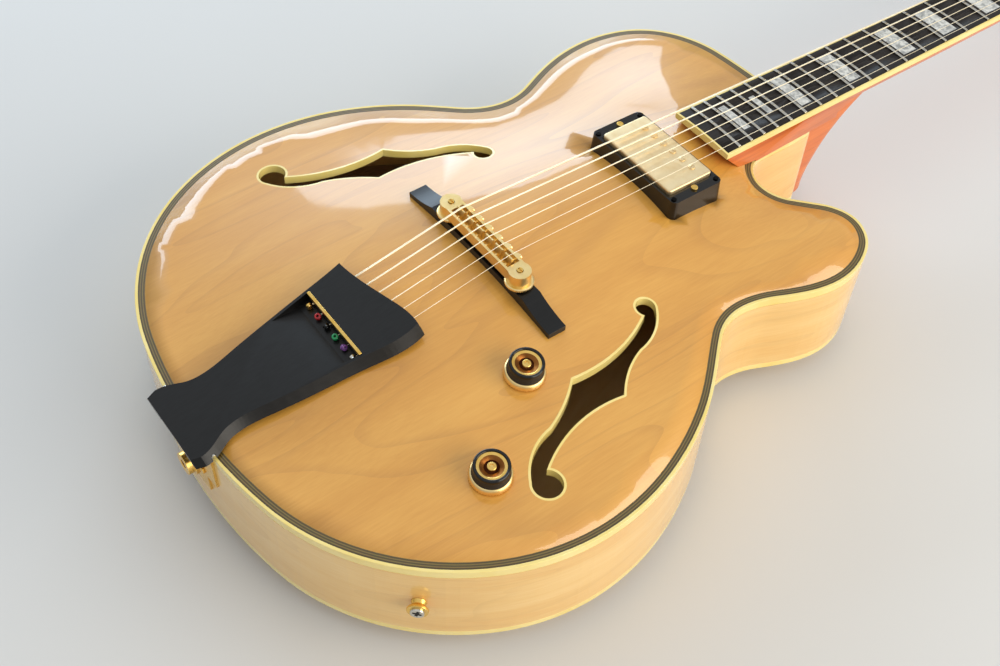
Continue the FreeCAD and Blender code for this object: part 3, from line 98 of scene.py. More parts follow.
def newMaterial(name, **sockets):
    material = bpy.data.materials.new(name)
    material.use_nodes = True
    tree = material.node_tree
    shader = tree.nodes["Principled BSDF"]
    for key, value in sockets.items():
        shader.inputs[key.replace("_", " ")].default_value = value
    return material, tree, shader, addNode(tree, "ShaderNodeTexCoord").outputs["Object"]


# Woods: sizes in mm across the grain, stretch is how much longer the figure runs on each axis
woodLooks = {
    "lacqueredMapleTop": {
        "stops": [(0.25, "#D4943A"), (0.45, "#DD9F42"), (0.6, "#E4A84A"), (0.8, "#EAB254")],
        "line": "#A0642A", "lineShare": 0.36, "patch": 46.0, "figure": 74.0, "rings": 9.0, "pore": 1.1,
        "stretch": (1.0, 5.0, 1.0), "coat": 1.0},
    "lacqueredMapleSides": {
        "stops": [(0.25, "#E9B264"), (0.45, "#F0C274"), (0.6, "#F5CC82"), (0.8, "#FAD794")],
        "line": "#C99A5A", "lineShare": 0.3, "patch": 24.0, "figure": 30.0, "rings": 7.0, "pore": 0.8,
        "stretch": (7.0, 7.0, 1.0), "coat": 0.8},
    "lacqueredMahogany": {
        "stops": [(0.25, "#C4581A"), (0.45, "#D66C22"), (0.6, "#E27A2A"), (0.8, "#EA8834")],
        "line": "#7C3A1C", "lineShare": 0.35, "patch": 14.0, "figure": 18.0, "rings": 8.0, "pore": 0.6,
        "stretch": (1.0, 14.0, 1.0), "coat": 0.4},
    "bareSpruce": {
        "stops": [(0.25, "#8A6847"), (0.45, "#977452"), (0.6, "#A5825D"), (0.8, "#B08D66")],
        "line": "#6E4F34", "lineShare": 0.4, "patch": 20.0, "figure": 12.0, "rings": 6.0, "pore": 0.6,
        "stretch": (1.0, 12.0, 1.0), "coat": 0.0},
}
woodFinish = {                                            # what all the woods share
    "roughness": 0.38, "coatRoughness": 0.05, "coatIor": 1.5, "swirl": 0.6,
    "patchDetail": 4.0, "poreDetail": 1.0, "figureDetail": 1.5, "breakDetail": 2.0,
    "poreShare": 0.3, "poreStretch": 4.0,                 # how much pores show, and how much longer they run
    "lineStart": 0.72,                                    # where in a growth ring its dark line starts
    "breakShare": 0.8,                                    # size of the breaks in it, as a share of a patch
}


# Clear lacquer gives a mirror-like coat over matt wood: soft patches, thin growth lines and fine pores
def grainedWood(name):
    look = woodLooks[name]
    material, tree, shader, place = newMaterial(
        name, Roughness=woodFinish["roughness"], Coat_Weight=look["coat"],
        Coat_Roughness=woodFinish["coatRoughness"], Coat_IOR=woodFinish["coatIor"])

    def spots(size, detail, longer=1.0):                  # noise of a size in mm, drawn out along the grain
        scale = [1 / (size * mm * (run if run == 1 else run * longer)) for run in look["stretch"]]
        spot = addNode(tree, "ShaderNodeMapping", {"Vector": place, "Scale": scale})
        noise = addNode(tree, "ShaderNodeTexNoise", {
            "Vector": spot.outputs["Vector"], "Scale": 1.0, "Detail": detail,
            "Distortion": woodFinish["swirl"]})
        return noise.outputs["Fac"]

    patch = spots(look["patch"], woodFinish["patchDetail"])
    pore = spots(look["pore"], woodFinish["poreDetail"], woodFinish["poreStretch"])
    blend = addNode(tree, "ShaderNodeMix", {"Factor": woodFinish["poreShare"], "A": patch, "B": pore})
    colour = addNode(tree, "ShaderNodeValToRGB", {"Fac": blend.outputs["Result"]}, stops=look["stops"])
    figure = spots(look["figure"], woodFinish["figureDetail"])
    field = addNode(tree, "ShaderNodeMath", {0: figure, 1: look["rings"]}, operation="MULTIPLY")
    ring = addNode(tree, "ShaderNodeMath", {0: field.outputs["Value"]}, operation="FRACT")
    edge = addNode(tree, "ShaderNodeMapRange", {
        "Value": ring.outputs["Value"], "From Min": woodFinish["lineStart"], "From Max": 1.0})
    breaks = spots(look["patch"] * woodFinish["breakShare"], woodFinish["breakDetail"])
    broken = addNode(tree, "ShaderNodeMath", {0: edge.outputs["Result"], 1: breaks}, operation="MULTIPLY")
    mask = addNode(tree, "ShaderNodeMath", {
        0: broken.outputs["Value"], 1: look["lineShare"]}, operation="MULTIPLY")
    stained = addNode(tree, "ShaderNodeMix", {
        "Factor": mask.outputs["Value"], "A": colour.outputs["Color"], "B": hexColour(look["line"])},
        data_type="RGBA")
    tree.links.new(stained.outputs["Result"], shader.inputs["Base Color"])
    return material


# Aged celluloid binding: warm cream with faint clouds, buffed under the lacquer
creamLook = {
    "roughness": 0.25, "coat": 0.8, "coatRoughness": 0.04, "cloud": 24.0,
    "stops": [(0.3, "#F7DC7A"), (0.7, "#FDE999")],
}


def creamBinding():
    material, tree, shader, place = newMaterial(
        "agedCelluloid", Roughness=creamLook["roughness"], Coat_Weight=creamLook["coat"],
        Coat_Roughness=creamLook["coatRoughness"])
    cloud = addNode(tree, "ShaderNodeTexNoise", {
        "Vector": place, "Scale": 1 / (creamLook["cloud"] * mm), "Detail": 3.0})
    colour = addNode(tree, "ShaderNodeValToRGB", {"Fac": cloud.outputs["Fac"]}, stops=creamLook["stops"])
    tree.links.new(colour.outputs["Color"], shader.inputs["Base Color"])
    return material


# Purfling: dark and lighter veneer strips side by side, read from how far across the ring a point is
purflingLook = {
    "roughness": 0.4, "coat": 0.5, "coatRoughness": 0.05, "grain": 3.0, "grainShare": 0.18,
    "strips": [(0.0, "#4A3A14"), (0.17, "#7C6830"), (0.3, "#4E3E16"), (0.46, "#7E6A32"), (0.58, "#4E3E16"),
               (0.74, "#7C6830"), (0.85, "#524218")],
}


def layeredPurfling():
    material, tree, shader, place = newMaterial(
        "layeredPurfling", Roughness=purflingLook["roughness"], Coat_Weight=purflingLook["coat"],
        Coat_Roughness=purflingLook["coatRoughness"])
    across = addNode(tree, "ShaderNodeAttribute", attribute_name="across").outputs["Fac"]
    strips = addNode(tree, "ShaderNodeValToRGB", {"Fac": across}, stops=purflingLook["strips"])
    strips.color_ramp.interpolation = "CONSTANT"
    grain = addNode(tree, "ShaderNodeTexNoise", {
        "Vector": place, "Scale": 1 / (purflingLook["grain"] * mm), "Detail": 2.0})
    worn = addNode(tree, "ShaderNodeMix", {
        "Factor": purflingLook["grainShare"], "A": strips.outputs["Color"], "B": grain.outputs["Color"]},
        data_type="RGBA", blend_type="OVERLAY")
    tree.links.new(worn.outputs["Result"], shader.inputs["Base Color"])
    return material


# Ebony, scraped and oiled: near black with short brown streaks along the grain
ebonyLook = {"streak": 1.1, "smoother": 0.06, "rougher": 0.08, "bump": 0.05, "bumpDepth": 0.3}


def oiledEbony(name, dark, light, roughness, streakRun, shine):
    material, tree, shader, place = newMaterial(name, Specular_IOR_Level=shine)
    width, run = ebonyLook["streak"] * mm, streakRun * mm
    spot = addNode(tree, "ShaderNodeMapping", {"Vector": place, "Scale": (1 / width, 1 / run, 1 / width)})
    streak = addNode(tree, "ShaderNodeTexNoise", {
        "Vector": spot.outputs["Vector"], "Scale": 1.0, "Detail": 4.0})
    height = streak.outputs["Fac"]
    colour = addNode(tree, "ShaderNodeValToRGB", {"Fac": height}, stops=[(0.35, dark), (0.75, light)])
    rub = addNode(tree, "ShaderNodeMapRange", {
        "Value": height, "To Min": roughness - ebonyLook["smoother"],
        "To Max": roughness + ebonyLook["rougher"]})
    bump = addNode(tree, "ShaderNodeBump", {
        "Height": height, "Strength": ebonyLook["bump"], "Distance": ebonyLook["bumpDepth"] * mm})
    tree.links.new(colour.outputs["Color"], shader.inputs["Base Color"])
    tree.links.new(rub.outputs["Result"], shader.inputs["Roughness"])
    tree.links.new(bump.outputs["Normal"], shader.inputs["Normal"])
    return material


# Plated metal: a clean mirror with faint handling marks in the gloss and a slight drift of colour
markSize = 6.0                                            # mm


def platedMetal(name, code, deep, roughness, marks=0.05):
    material, tree, shader, place = newMaterial(name, Metallic=1.0)
    smear = addNode(tree, "ShaderNodeTexNoise", {"Vector": place, "Scale": 1 / (markSize * mm), "Detail": 3.0})
    drift = smear.outputs["Fac"]
    colour = addNode(tree, "ShaderNodeValToRGB", {"Fac": drift}, stops=[(0.3, deep), (0.65, code)])
    gloss = addNode(tree, "ShaderNodeMapRange", {
        "Value": drift, "To Min": roughness - marks, "To Max": roughness + marks})
    tree.links.new(colour.outputs["Color"], shader.inputs["Base Color"])
    tree.links.new(gloss.outputs["Result"], shader.inputs["Roughness"])
    return material


# Moulded or polished plastic, shell and bone: even colour, faint clouds and a fine ripple in the gloss
solidLook = {"ior": 1.5, "swirl": 1.2, "smoother": 0.03, "rougher": 0.05}


def polishedSolid(name, code, deep, roughness, cloudSize=8.0):
    material, tree, shader, place = newMaterial(name, IOR=solidLook["ior"])
    cloud = addNode(tree, "ShaderNodeTexNoise", {
        "Vector": place, "Scale": 1 / (cloudSize * mm), "Detail": 4.0, "Distortion": solidLook["swirl"]})
    drift = cloud.outputs["Fac"]
    colour = addNode(tree, "ShaderNodeValToRGB", {"Fac": drift}, stops=[(0.35, deep), (0.65, code)])
    gloss = addNode(tree, "ShaderNodeMapRange", {
        "Value": drift, "To Min": roughness - solidLook["smoother"],
        "To Max": roughness + solidLook["rougher"]})
    tree.links.new(colour.outputs["Color"], shader.inputs["Base Color"])
    tree.links.new(gloss.outputs["Result"], shader.inputs["Roughness"])
    return material


# Strings: bright nickel wire, with slow changes of shine along it where fingers have worn it
wireLook = {"metallic": 0.55, "roughness": 0.42, "wear": 30.0, "stops": [(0.3, "#F3E3BE"), (0.7, "#FFF4DA")]}


def brightWire():
    material, tree, shader, place = newMaterial(
        "brightNickelWire", Metallic=wireLook["metallic"], Roughness=wireLook["roughness"])
    wear = addNode(tree, "ShaderNodeTexNoise", {
        "Vector": place, "Scale": 1 / (wireLook["wear"] * mm), "Detail": 2.0})
    colour = addNode(tree, "ShaderNodeValToRGB", {"Fac": wear.outputs["Fac"]}, stops=wireLook["stops"])
    tree.links.new(colour.outputs["Color"], shader.inputs["Base Color"])
    return material


finishes = {
    "mapleTop": grainedWood("lacqueredMapleTop"),
    "mapleSide": grainedWood("lacqueredMapleSides"),
    "mahogany": grainedWood("lacqueredMahogany"),
    "bareWood": grainedWood("bareSpruce"),
    "cream": creamBinding(),
    "purfling": layeredPurfling(),
    "ebony": oiledEbony("oiledEbony", "#181412", "#2F2723", roughness=0.42, streakRun=26.0, shine=0.32),
    "blackWood": oiledEbony("waxedEbony", "#060606", "#0D0D0C", roughness=0.32, streakRun=30.0, shine=0.4),
    "gold": platedMetal("goldPlate", "#F8D27C", "#F0C05C", roughness=0.26),
    "satinGold": platedMetal("satinGoldPlate", "#FAE3B6", "#F4D8A4", roughness=0.45, marks=0.03),
    "brightGold": platedMetal("brightGoldPlate", "#FFE4A6", "#F9D88E", roughness=0.34),
    "copper": platedMetal("amberFoil", "#96602E", "#6A3E1A", roughness=0.34),
    # darker copper foil: painted shade in the groove round each knob's boss
    "copperPaintedShade": platedMetal("shadedFoil", "#4A2412", "#2E150A", roughness=0.35),
    "nickel": platedMetal("nickelSilver", "#DCD9D0", "#C6C3BA", roughness=0.2),
    "steel": platedMetal("plainSteel", "#9A9893", "#858380", roughness=0.4),
    "string": brightWire(),
    "blackPlastic": polishedSolid("polishedBlackAbs", "#0D0D0D", "#090909", roughness=0.12),
    "mattBlack": polishedSolid("mattBlackAbs", "#1F1E1D", "#161514", roughness=0.5),
    "blackScrew": platedMetal("blackedSteel", "#1C1A18", "#100F0E", roughness=0.3),
    "pearl": polishedSolid("pearlShell", "#E4E4DE", "#9A9C9B", roughness=0.18, cloudSize=5.0),
    "bone": polishedSolid("polishedBone", "#E6DDC6", "#DCD0B4", roughness=0.35),
    "redEnamel": polishedSolid("redEnamel", "#C22A2F", "#9E1D24", roughness=0.2),
    "greenEnamel": polishedSolid("greenEnamel", "#229A5C", "#157343", roughness=0.2),
    "purpleEnamel": polishedSolid("purpleEnamel", "#8A5AA0", "#6C4180", roughness=0.2),
}

stringNumbers = range(1, stringCount + 1)
finishOf = {                                              # a node that isn't here is gold
    "mapleTop": ["top_plate"],
    "mapleSide": ["back_plate", "bass_rib", "treble_rib"],
    "cream": ["top_binding", "back_binding", "f_hole_bindings", "fretboard_binding"],
    "purfling": ["top_purfling"],
    "bareWood": ["linings", "tone_bars", "end_blocks"],
    "mahogany": ["neck"],
    "ebony": ["fretboard", "headstock_overlay"],
    "blackWood": ["tailpiece", "bridge_base"],
    "nickel": ["frets", "tailpiece_pin"],
    "pearl": ["fret_inlays"],
    "bone": ["nut"],
    "steel": ["truss_rod", "potentiometers"],
    "string": ["strings"],
    "blackPlastic": ["truss_rod_cover", "pickup_ring", "volume_knob", "tone_knob"],
    "satinGold": ["pickup"],
    "brightGold": ["bridge_frame", "saddle_screws", "bass_thumbwheel", "treble_thumbwheel"]
                  + ["saddle_%d" % number for number in stringNumbers],
}
finishName = {node: "gold" for node in nodes}
finishName.update({node: finish for finish, members in finishOf.items() for node in members})
for name, node in nodes.items():
    node.data.materials.clear()
    node.data.materials.append(finishes[finishName[name]])
print("finishes set:", len(finishes))


def placePiece(name, shape, looks, node, stands=True, angle=38, bend=None):
    mesh = bpy.data.meshes.new(name)
    shape.to_mesh(mesh)
    shape.free()
    mesh.shade_smooth()
    mesh.set_sharp_from_angle(angle=math.radians(angle))
    for look in looks:
        mesh.materials.append(finishes[look])
    piece = bpy.data.objects.new(name, mesh)
    bpy.context.scene.collection.objects.link(piece)
    if bend:
        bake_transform(piece)
    else:
        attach(piece, bodyOf[node])
    if stands:
        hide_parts(node)
    return piece


# A copy of a solid's mesh with its loose triangles joined and its flat faces made whole
flatAngle = 0.4                                           # degrees


def joinedCopy(node, flat=True):
    shape = bmesh.new()
    shape.from_mesh(nodes[node].data)
    bmesh.ops.remove_doubles(shape, verts=shape.verts, dist=joinGap)
    if flat:
        limit = math.radians(flatAngle)
        bmesh.ops.dissolve_limit(shape, angle_limit=limit, verts=shape.verts, edges=shape.edges)
    for face in shape.faces:
        face.material_index = 0
    return shape


def everything(shape):
    return shape.verts[:] + shape.edges[:] + shape.faces[:]


def openEdges(shape):
    return [edge for edge in shape.edges if edge.is_boundary]


def onlyPoints(items):
    return [item for item in items if isinstance(item, bmesh.types.BMVert)]


# Width in mm of the softened edge of each solid; 0 keeps the edge and only smooths the faces
edgeWidths = {
    "top_plate": 0, "back_plate": 0, "bass_rib": 0, "treble_rib": 0, "top_binding": 0.35, "back_binding": 0.8,
    "f_hole_bindings": 0.25, "neck": 0, "fretboard": 0, "fretboard_binding": 0.25, "frets": 0.35,
    "fret_inlays": 0, "nut": 0.4, "headstock_overlay": 0.3, "truss_rod_cover": 0.5, "tuner_casings": 0.7,
    "bridge_base": 0.5, "bridge_posts": 0.2, "bridge_frame": 0.55, "saddle_screws": 0.2, "pickup_ring": 0.9,
    "pickup": 0.3, "pickup_screws": 0.25, "output_jack": 0.4, "strap_buttons": 0.5, "tailpiece": 1.1,
    "tailpiece_bracket": 0.3, "tailpiece_pin": 0.3, "string_bar": 0.4,
}
for number in stringNumbers:
    edgeWidths["saddle_%d" % number] = 0.3
    edgeWidths["tuner_button_%d" % number] = 1.2
    edgeWidths["tuner_post_%d" % number] = 0.35
edgeSegments = 2
edgeAngle = 32                                            # degrees: sharper edges stay sharp, or are softened
creases = {"tailpiece": 15}                               # the same for a solid with fainter edges


def softEdges(piece, width):
    bevel = piece.modifiers.new("softEdges", "BEVEL")
    bevel.width = width * mm
    bevel.segments = edgeSegments
    bevel.limit_method = "ANGLE"
    bevel.angle_limit = math.radians(edgeAngle)
    bevel.harden_normals = True


def softenSolids():
    for node, width in edgeWidths.items():
        shape = joinedCopy(node, flat=width > 0)
        crease = creases.get(node, edgeAngle)
        piece = placePiece(node + "_finished", shape, [finishName[node]], node, angle=crease)
        if width:
            softEdges(piece, width)


softenSolids()
print("solids softened:", len(edgeWidths))


# The purfling ring, with how far across it each point lies
def makePurfling():
    binding = nodes["top_binding"].data
    corners = [vert.co for vert in binding.vertices]
    edge = BVHTree.FromPolygons(corners, [face.vertices for face in binding.polygons])
    shape = joinedCopy("top_purfling", flat=False)
    reach = [edge.find_nearest(vert.co)[3] for vert in shape.verts]
    far = max(reach)
    piece = placePiece("purflingStrips", shape, ["purfling"], "top_purfling", angle=edgeAngle)
    across = piece.data.attributes.new("across", "FLOAT", "POINT")
    for point, distance in zip(across.data, reach):
        point.value = distance / far


makePurfling()


# Small screws: plated, but blacked on the pickup ring and in the strap buttons
screwLook = {"edge": 0.3, "nearRing": 2.0, "nearButton": 20.0}


def makeScrews():
    low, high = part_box("pickup_ring")
    ringGap, buttonGap = screwLook["nearRing"] * mm, screwLook["nearButton"] * mm
    buttons = [Vector(mount["pos_m"]) for mount in strapMounts]
    shape = joinedCopy("small_screws")
    for face in shape.faces:
        middle = face.calc_center_median()
        onRing = all(low[i] - ringGap < middle[i] < high[i] + ringGap for i in (0, 1))
        inButton = any((middle - button).length < buttonGap for button in buttons)
        face.material_index = int(onRing or inButton)
    piece = placePiece("mountingScrews", shape, ["gold", "blackScrew"], "small_screws", angle=edgeAngle)
    softEdges(piece, screwLook["edge"])


makeScrews()


# Strings in three sets of runs: over the neck, behind the bridge and at the tail. Behind the bridge they are cut
# at a share of the way to the tailpiece
stringLook = {"cutShare": 0.25, "cutGap": 1e-7}


def makeStrings():
    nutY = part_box("nut")[0].y
    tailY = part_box("tailpiece")[1].y
    cutY = bridgeY + (tailY - bridgeY) * stringLook["cutShare"]
    runs = [                                              # name, start and end along Y, and the bodies there
        ("stringsOverNeck", nutY, bridgeY, "guitar", "bridge_frame"),
        ("stringsBehindBridge", bridgeY, cutY, "bridge_frame", "guitar"),
        ("stringsAtTail", cutY, tailY, "guitar", "tailpiece"),
    ]
    for name, start, end, first, second in runs:
        shape = joinedCopy("strings", flat=False)
        clearAhead, clearBehind = name != "stringsOverNeck", name != "stringsAtTail"
        for y, ahead, behind in ((start, clearAhead, False), (end, False, clearBehind)):
            bmesh.ops.bisect_plane(
                shape, geom=everything(shape), dist=stringLook["cutGap"],
                plane_co=(0, y, 0), plane_no=(0, 1, 0), clear_outer=ahead, clear_inner=behind)
        bmesh.ops.remove_doubles(shape, verts=shape.verts, dist=joinGap)
        bmesh.ops.dissolve_degenerate(shape, dist=joinGap, edges=shape.edges)
        bmesh.ops.holes_fill(shape, edges=openEdges(shape))
        bend = (first, second, (0, start, 0), (0, end, 0))
        placePiece(name, shape, ["string"], "strings", angle=edgeAngle, bend=bend)


makeStrings()
print("purfling, small screws and strings made")


# A full turn about Z, closed and facing outwards
def spinRound(shape, outline, steps):
    bmesh.ops.spin(
        shape, geom=outline, cent=(0, 0, 0), axis=(0, 0, 1), angle=fullTurn, steps=steps, use_merge=True)
    bmesh.ops.remove_doubles(shape, verts=shape.verts, dist=spinGap)
    bmesh.ops.recalc_face_normals(shape, faces=shape.faces)


# A line of (radius, height) points in mm, turned about Z
def turned(line, steps):
    shape = bmesh.new()
    points = [shape.verts.new((radius * mm, 0, height * mm)) for radius, height in line]
    edges = [shape.edges.new(pair) for pair in zip(points, points[1:])]
    spinRound(shape, points + edges, steps)
    return shape


# Every other upright row of points between two heights steps in, which gives a knurled edge
def knurl(shape, steps, low, high, beyond, depth):
    for vert in shape.verts:
        radius = vert.co.xy.length
        step = round(math.atan2(vert.co.y, vert.co.x) / fullTurn * steps)
        if low * mm <= vert.co.z <= high * mm and radius > beyond * mm and step % 2:
            vert.co.xy *= 1 - depth * mm / radius


def standOn(shape, axis, place):
    turn = up.rotation_difference(Vector(axis)).to_matrix().to_4x4()
    bmesh.ops.transform(shape, matrix=Matrix.Translation(place) @ turn, verts=shape.verts)


# Control knobs: toothed gold skirt, knurled black grip with a glossy lip, and a dished foil centre with a boss,
# whose groove round the boss is darker copper as painted shade
knobLook = {
    "steps": 96, "crease": 50,
    "skirt": [(0, 1.0), (12.9, 1.0), (13.3, 1.3), (13.3, 2.9), (12.7, 4.6), (11.9, 5.4), (0, 5.4)],
    "grip": [(0, 5.2), (11.3, 5.2), (11.7, 5.5), (11.6, 6.0), (11.1, 10.6), (11.25, 10.9), (11.1, 12.7),
             (10.7, 13.4), (10.0, 13.6), (9.4, 13.4), (9.1, 12.9), (9.0, 10.4), (0, 10.4)],
    "centre": [(0, 10.2), (8.8, 10.2), (9.05, 12.6), (8.5, 12.7), (7.3, 12.0), (4.6, 11.1), (4.3, 10.7),
               (3.1, 10.7), (2.9, 10.9), (2.9, 12.0), (2.5, 12.4), (1.4, 12.4), (1.1, 11.9), (0, 11.8)],
    "skirtKnurl": {"low": 0.9, "high": 3.0, "beyond": 12.5, "depth": 0.35},
    "gripKnurl": {"low": 5.7, "high": 10.7, "beyond": 10.5, "depth": 0.3},
    "mattLow": 5.7, "mattHigh": 10.8, "mattBeyond": 10.0, # the knurled band of the grip is matt
    # the ring from 2.95 to 4.45 mm is the groove round the boss, given the darker copper as painted shade
    "zones": [(2.95, 0), (4.45, 2), (6.9, 1)],            # centre, up to this radius: number of its finish
}


def makeKnob(node):
    joint, steps = jointOf[node], knobLook["steps"]
    skirt = turned(knobLook["skirt"], steps)
    knurl(skirt, steps, **knobLook["skirtKnurl"])
    grip = turned(knobLook["grip"], steps)
    knurl(grip, steps, **knobLook["gripKnurl"])
    for face in grip.faces:
        middle = face.calc_center_median()
        inBand = knobLook["mattLow"] * mm < middle.z < knobLook["mattHigh"] * mm
        face.material_index = int(inBand and middle.xy.length > knobLook["mattBeyond"] * mm)
    centre = turned(knobLook["centre"], steps)
    for face in centre.faces:
        radius = face.calc_center_median().xy.length
        face.material_index = next((finish for limit, finish in knobLook["zones"] if radius < limit * mm), 0)
    parts = [
        ("Skirt", skirt, ["brightGold"]),
        ("Grip", grip, ["blackPlastic", "mattBlack"]),
        ("Centre", centre, ["gold", "copper", "copperPaintedShade"]),
    ]
    for name, shape, looks in parts:
        standOn(shape, joint["axis"], Vector(joint["pos_m"]))
        placePiece(node.split("_")[0] + "Knob" + name, shape, looks, node, angle=knobLook["crease"])


for node in ("volume_knob", "tone_knob"):
    makeKnob(node)
print("knobs turned")


# Thumbwheels under the bridge frame: knurled edge, and a bore that clears the post
wheelLook = {
    "steps": 88, "crease": 25, "chamfer": 0.5, "bore": 2.3, "knurl": 0.4, "knurlMargin": 0.3, "knurlRim": 0.2,
}


def makeWheel(node):
    low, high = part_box(node)
    radius, thick = (high.x - low.x) / 2 / mm, (high.z - low.z) / mm
    soft, bore, margin = wheelLook["chamfer"], wheelLook["bore"], wheelLook["knurlMargin"]
    flat = radius - soft * 2
    line = [(bore, 0), (flat, 0), (radius, soft), (radius, thick - soft), (flat, thick), (bore, thick),
            (bore, 0)]
    shape = turned(line, wheelLook["steps"])
    knurl(shape, wheelLook["steps"], margin, thick - margin, radius - wheelLook["knurlRim"], wheelLook["knurl"])
    standOn(shape, up, Vector(((low.x + high.x) / 2, (low.y + high.y) / 2, low.z)))
    placePiece(node.split("_")[0] + "Thumbwheel", shape, ["brightGold"], node, angle=wheelLook["crease"])


for node in ("bass_thumbwheel", "treble_thumbwheel"):
    makeWheel(node)


# Ball ends of the strings: small spools, each in its set's colour, some lying and some standing
ballLook = {
    "steps": 32, "crease": 50, "halfLength": 1.5,
    "line": [(0.9, -1.4), (1.5, -1.5), (2.0, -1.1), (1.6, -0.4), (1.6, 0.4), (2.0, 1.1), (1.5, 1.5), (0.9, 1.4),
             (0.9, -1.4)],
    "finishes": ["gold", "redEnamel", "blackPlastic", "greenEnamel", "purpleEnamel", "nickel"],
    "axes": [(1, 0, 0), (0.3, -0.4, 1), (1, 0, 0.2), (0.2, -0.3, 1), (1, 0.2, 0.5), (1, 0, 0)],
}


def makeBalls():
    low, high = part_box("ball_ends")
    first, last = low.x + ballLook["halfLength"] * mm, high.x - ballLook["halfLength"] * mm
    for index, (finish, axis) in enumerate(zip(ballLook["finishes"], ballLook["axes"])):
        shape = turned(ballLook["line"], ballLook["steps"])
        x = first + (last - first) * index / (stringCount - 1)
        standOn(shape, Vector(axis), Vector((x, (low.y + high.y) / 2, (low.z + high.z) / 2)))
        name = "ballEnd%d" % (stringCount - index)
        placePiece(name, shape, [finish], "ball_ends", angle=ballLook["crease"])


makeBalls()
print("wheels and ball ends turned")


# A round screw head standing on Z, with a straight slot right across or a crossed one up to a reach
headLook = {
    "segments": 40, "softShare": 0.4, "softSegments": 2,
    "rimAngle": 0.5,                                      # radians: sharper edges at the top are softened
    "footShare": 0.85, "footDepthShare": 0.5,             # a closed foot, inside what the head stands on
}


def screwHead(radius, height, slot, turn, reach=None):
    shape = bmesh.new()
    bmesh.ops.create_circle(shape, cap_ends=True, segments=headLook["segments"], radius=radius * mm)
    cuts = [(0, slot / 2)] if reach is None else [(0, slot / 2), (1, slot / 2), (0, reach), (1, reach)]
    for axis, distance in cuts:
        for side in (-1, 1):
            place, normal = [0, 0, 0], [0, 0, 0]
            place[1 - axis], normal[1 - axis] = side * distance * mm, 1
            bmesh.ops.bisect_plane(shape, geom=everything(shape), plane_co=place, plane_no=normal)

    def inSlot(face):
        x, y = (abs(value) / mm for value in face.calc_center_median().xy)
        if reach is None:
            return y < slot / 2
        return min(x, y) < slot / 2 and max(x, y) < reach

    def onRim(edge):
        high = all(vert.co.z > height / 2 * mm for vert in edge.verts)
        return edge.is_manifold and high and edge.calc_face_angle() > headLook["rimAngle"]

    raised = [face for face in shape.faces if not inSlot(face)]
    lifted = onlyPoints(bmesh.ops.extrude_face_region(shape, geom=raised)["geom"])
    bmesh.ops.translate(shape, vec=(0, 0, height * mm), verts=lifted)
    bmesh.ops.delete(shape, geom=raised, context="FACES_ONLY")
    bmesh.ops.delete(shape, geom=[edge for edge in shape.edges if edge.is_wire], context="EDGES")
    bmesh.ops.bevel(
        shape, geom=[edge for edge in shape.edges if onRim(edge)], offset=height * headLook["softShare"] * mm,
        segments=headLook["softSegments"], profile=0.5, affect="EDGES", material=-1)
    sunk = onlyPoints(bmesh.ops.extrude_edge_only(shape, edges=openEdges(shape))["geom"])
    bmesh.ops.scale(shape, vec=(headLook["footShare"], headLook["footShare"], 1), verts=sunk)
    bmesh.ops.translate(shape, vec=(0, 0, -height * headLook["footDepthShare"] * mm), verts=sunk)
    bmesh.ops.holes_fill(shape, edges=openEdges(shape))
    bmesh.ops.recalc_face_normals(shape, faces=shape.faces)
    bmesh.ops.rotate(shape, matrix=Matrix.Rotation(turn, 3, "Z"), verts=shape.verts)
    return shape


# Cross-head screws that hold the strap buttons, wider than the plain heads under them
strapLook = {"radius": 4.3, "height": 1.5, "slot": 1.2, "turn": 0.5, "reach": 2.6}


def makeStrapScrews():
    corners = [vert.co for vert in nodes["strap_buttons"].data.vertices]
    for mount in strapMounts:
        axis, middle = Vector(mount["axis"]), Vector(mount["pos_m"])
        button = [point for point in corners if (point - middle).length < screwLook["nearButton"] * mm]
        top = max((point - middle).dot(axis) for point in button)
        shape = screwHead(**strapLook)
        standOn(shape, axis, middle + axis * top)
        name = mount["name"].split("_")[0] + "StrapScrew"
        placePiece(name, shape, ["nickel"], "strap_buttons", stands=False)


makeStrapScrews()


# Pole screws on the six flat tops of the pickup's cover, sunk to clear the strings when the pickup is high
poleLook = {
    "radius": 2.4, "height": 0.3, "slot": 0.7, "sink": 0.25, "seat": 0.05,
    "levelGap": 0.05,                                     # points this near the top belong to a pole
    "between": 2.0,                                       # poles are farther apart than this
    "turns": [0.5, 1.3, 2.2, 0.2, 2.7, 1.8],
}


def makePoles():
    axis = Vector(jointOf["pickup"]["axis"])
    points = [vert.co for vert in nodes["pickup"].data.vertices]
    level = max(point.dot(axis) for point in points) - poleLook["levelGap"] * mm
    tops = sorted((point for point in points if point.dot(axis) > level), key=lambda point: point.x)
    sink = axis * (poleLook["sink"] * mm)
    for vert in bpy.data.objects["pickup_finished"].data.vertices:
        if vert.co.dot(axis) > level:
            vert.co -= sink
    groups = [[tops[0]]]
    for point in tops[1:]:
        if point.x - groups[-1][-1].x > poleLook["between"] * mm:
            groups.append([])
        groups[-1].append(point)
    for index, group in enumerate(groups):
        middle = Vector([(min(p[i] for p in group) + max(p[i] for p in group)) / 2 for i in range(3)])
        shape = screwHead(poleLook["radius"], poleLook["height"], poleLook["slot"], poleLook["turns"][index])
        standOn(shape, axis, middle - sink - axis * (poleLook["seat"] * mm))
        placePiece("poleScrew%d" % (index + 1), shape, ["satinGold"], "pickup", stands=False)


makePoles()


# Turns of string round each tuner post, with the thin strings drawn thicker so that they show
wrapLook = {
    "turns": 3, "radii": [0.66, 0.54, 0.41, 0.30, 0.205, 0.16], "thinnest": 0.3, "post": 3.0, "hugShare": 0.8,
    "heightShare": 0.52, "sides": 10, "steps": 40, "crease": 60,
}


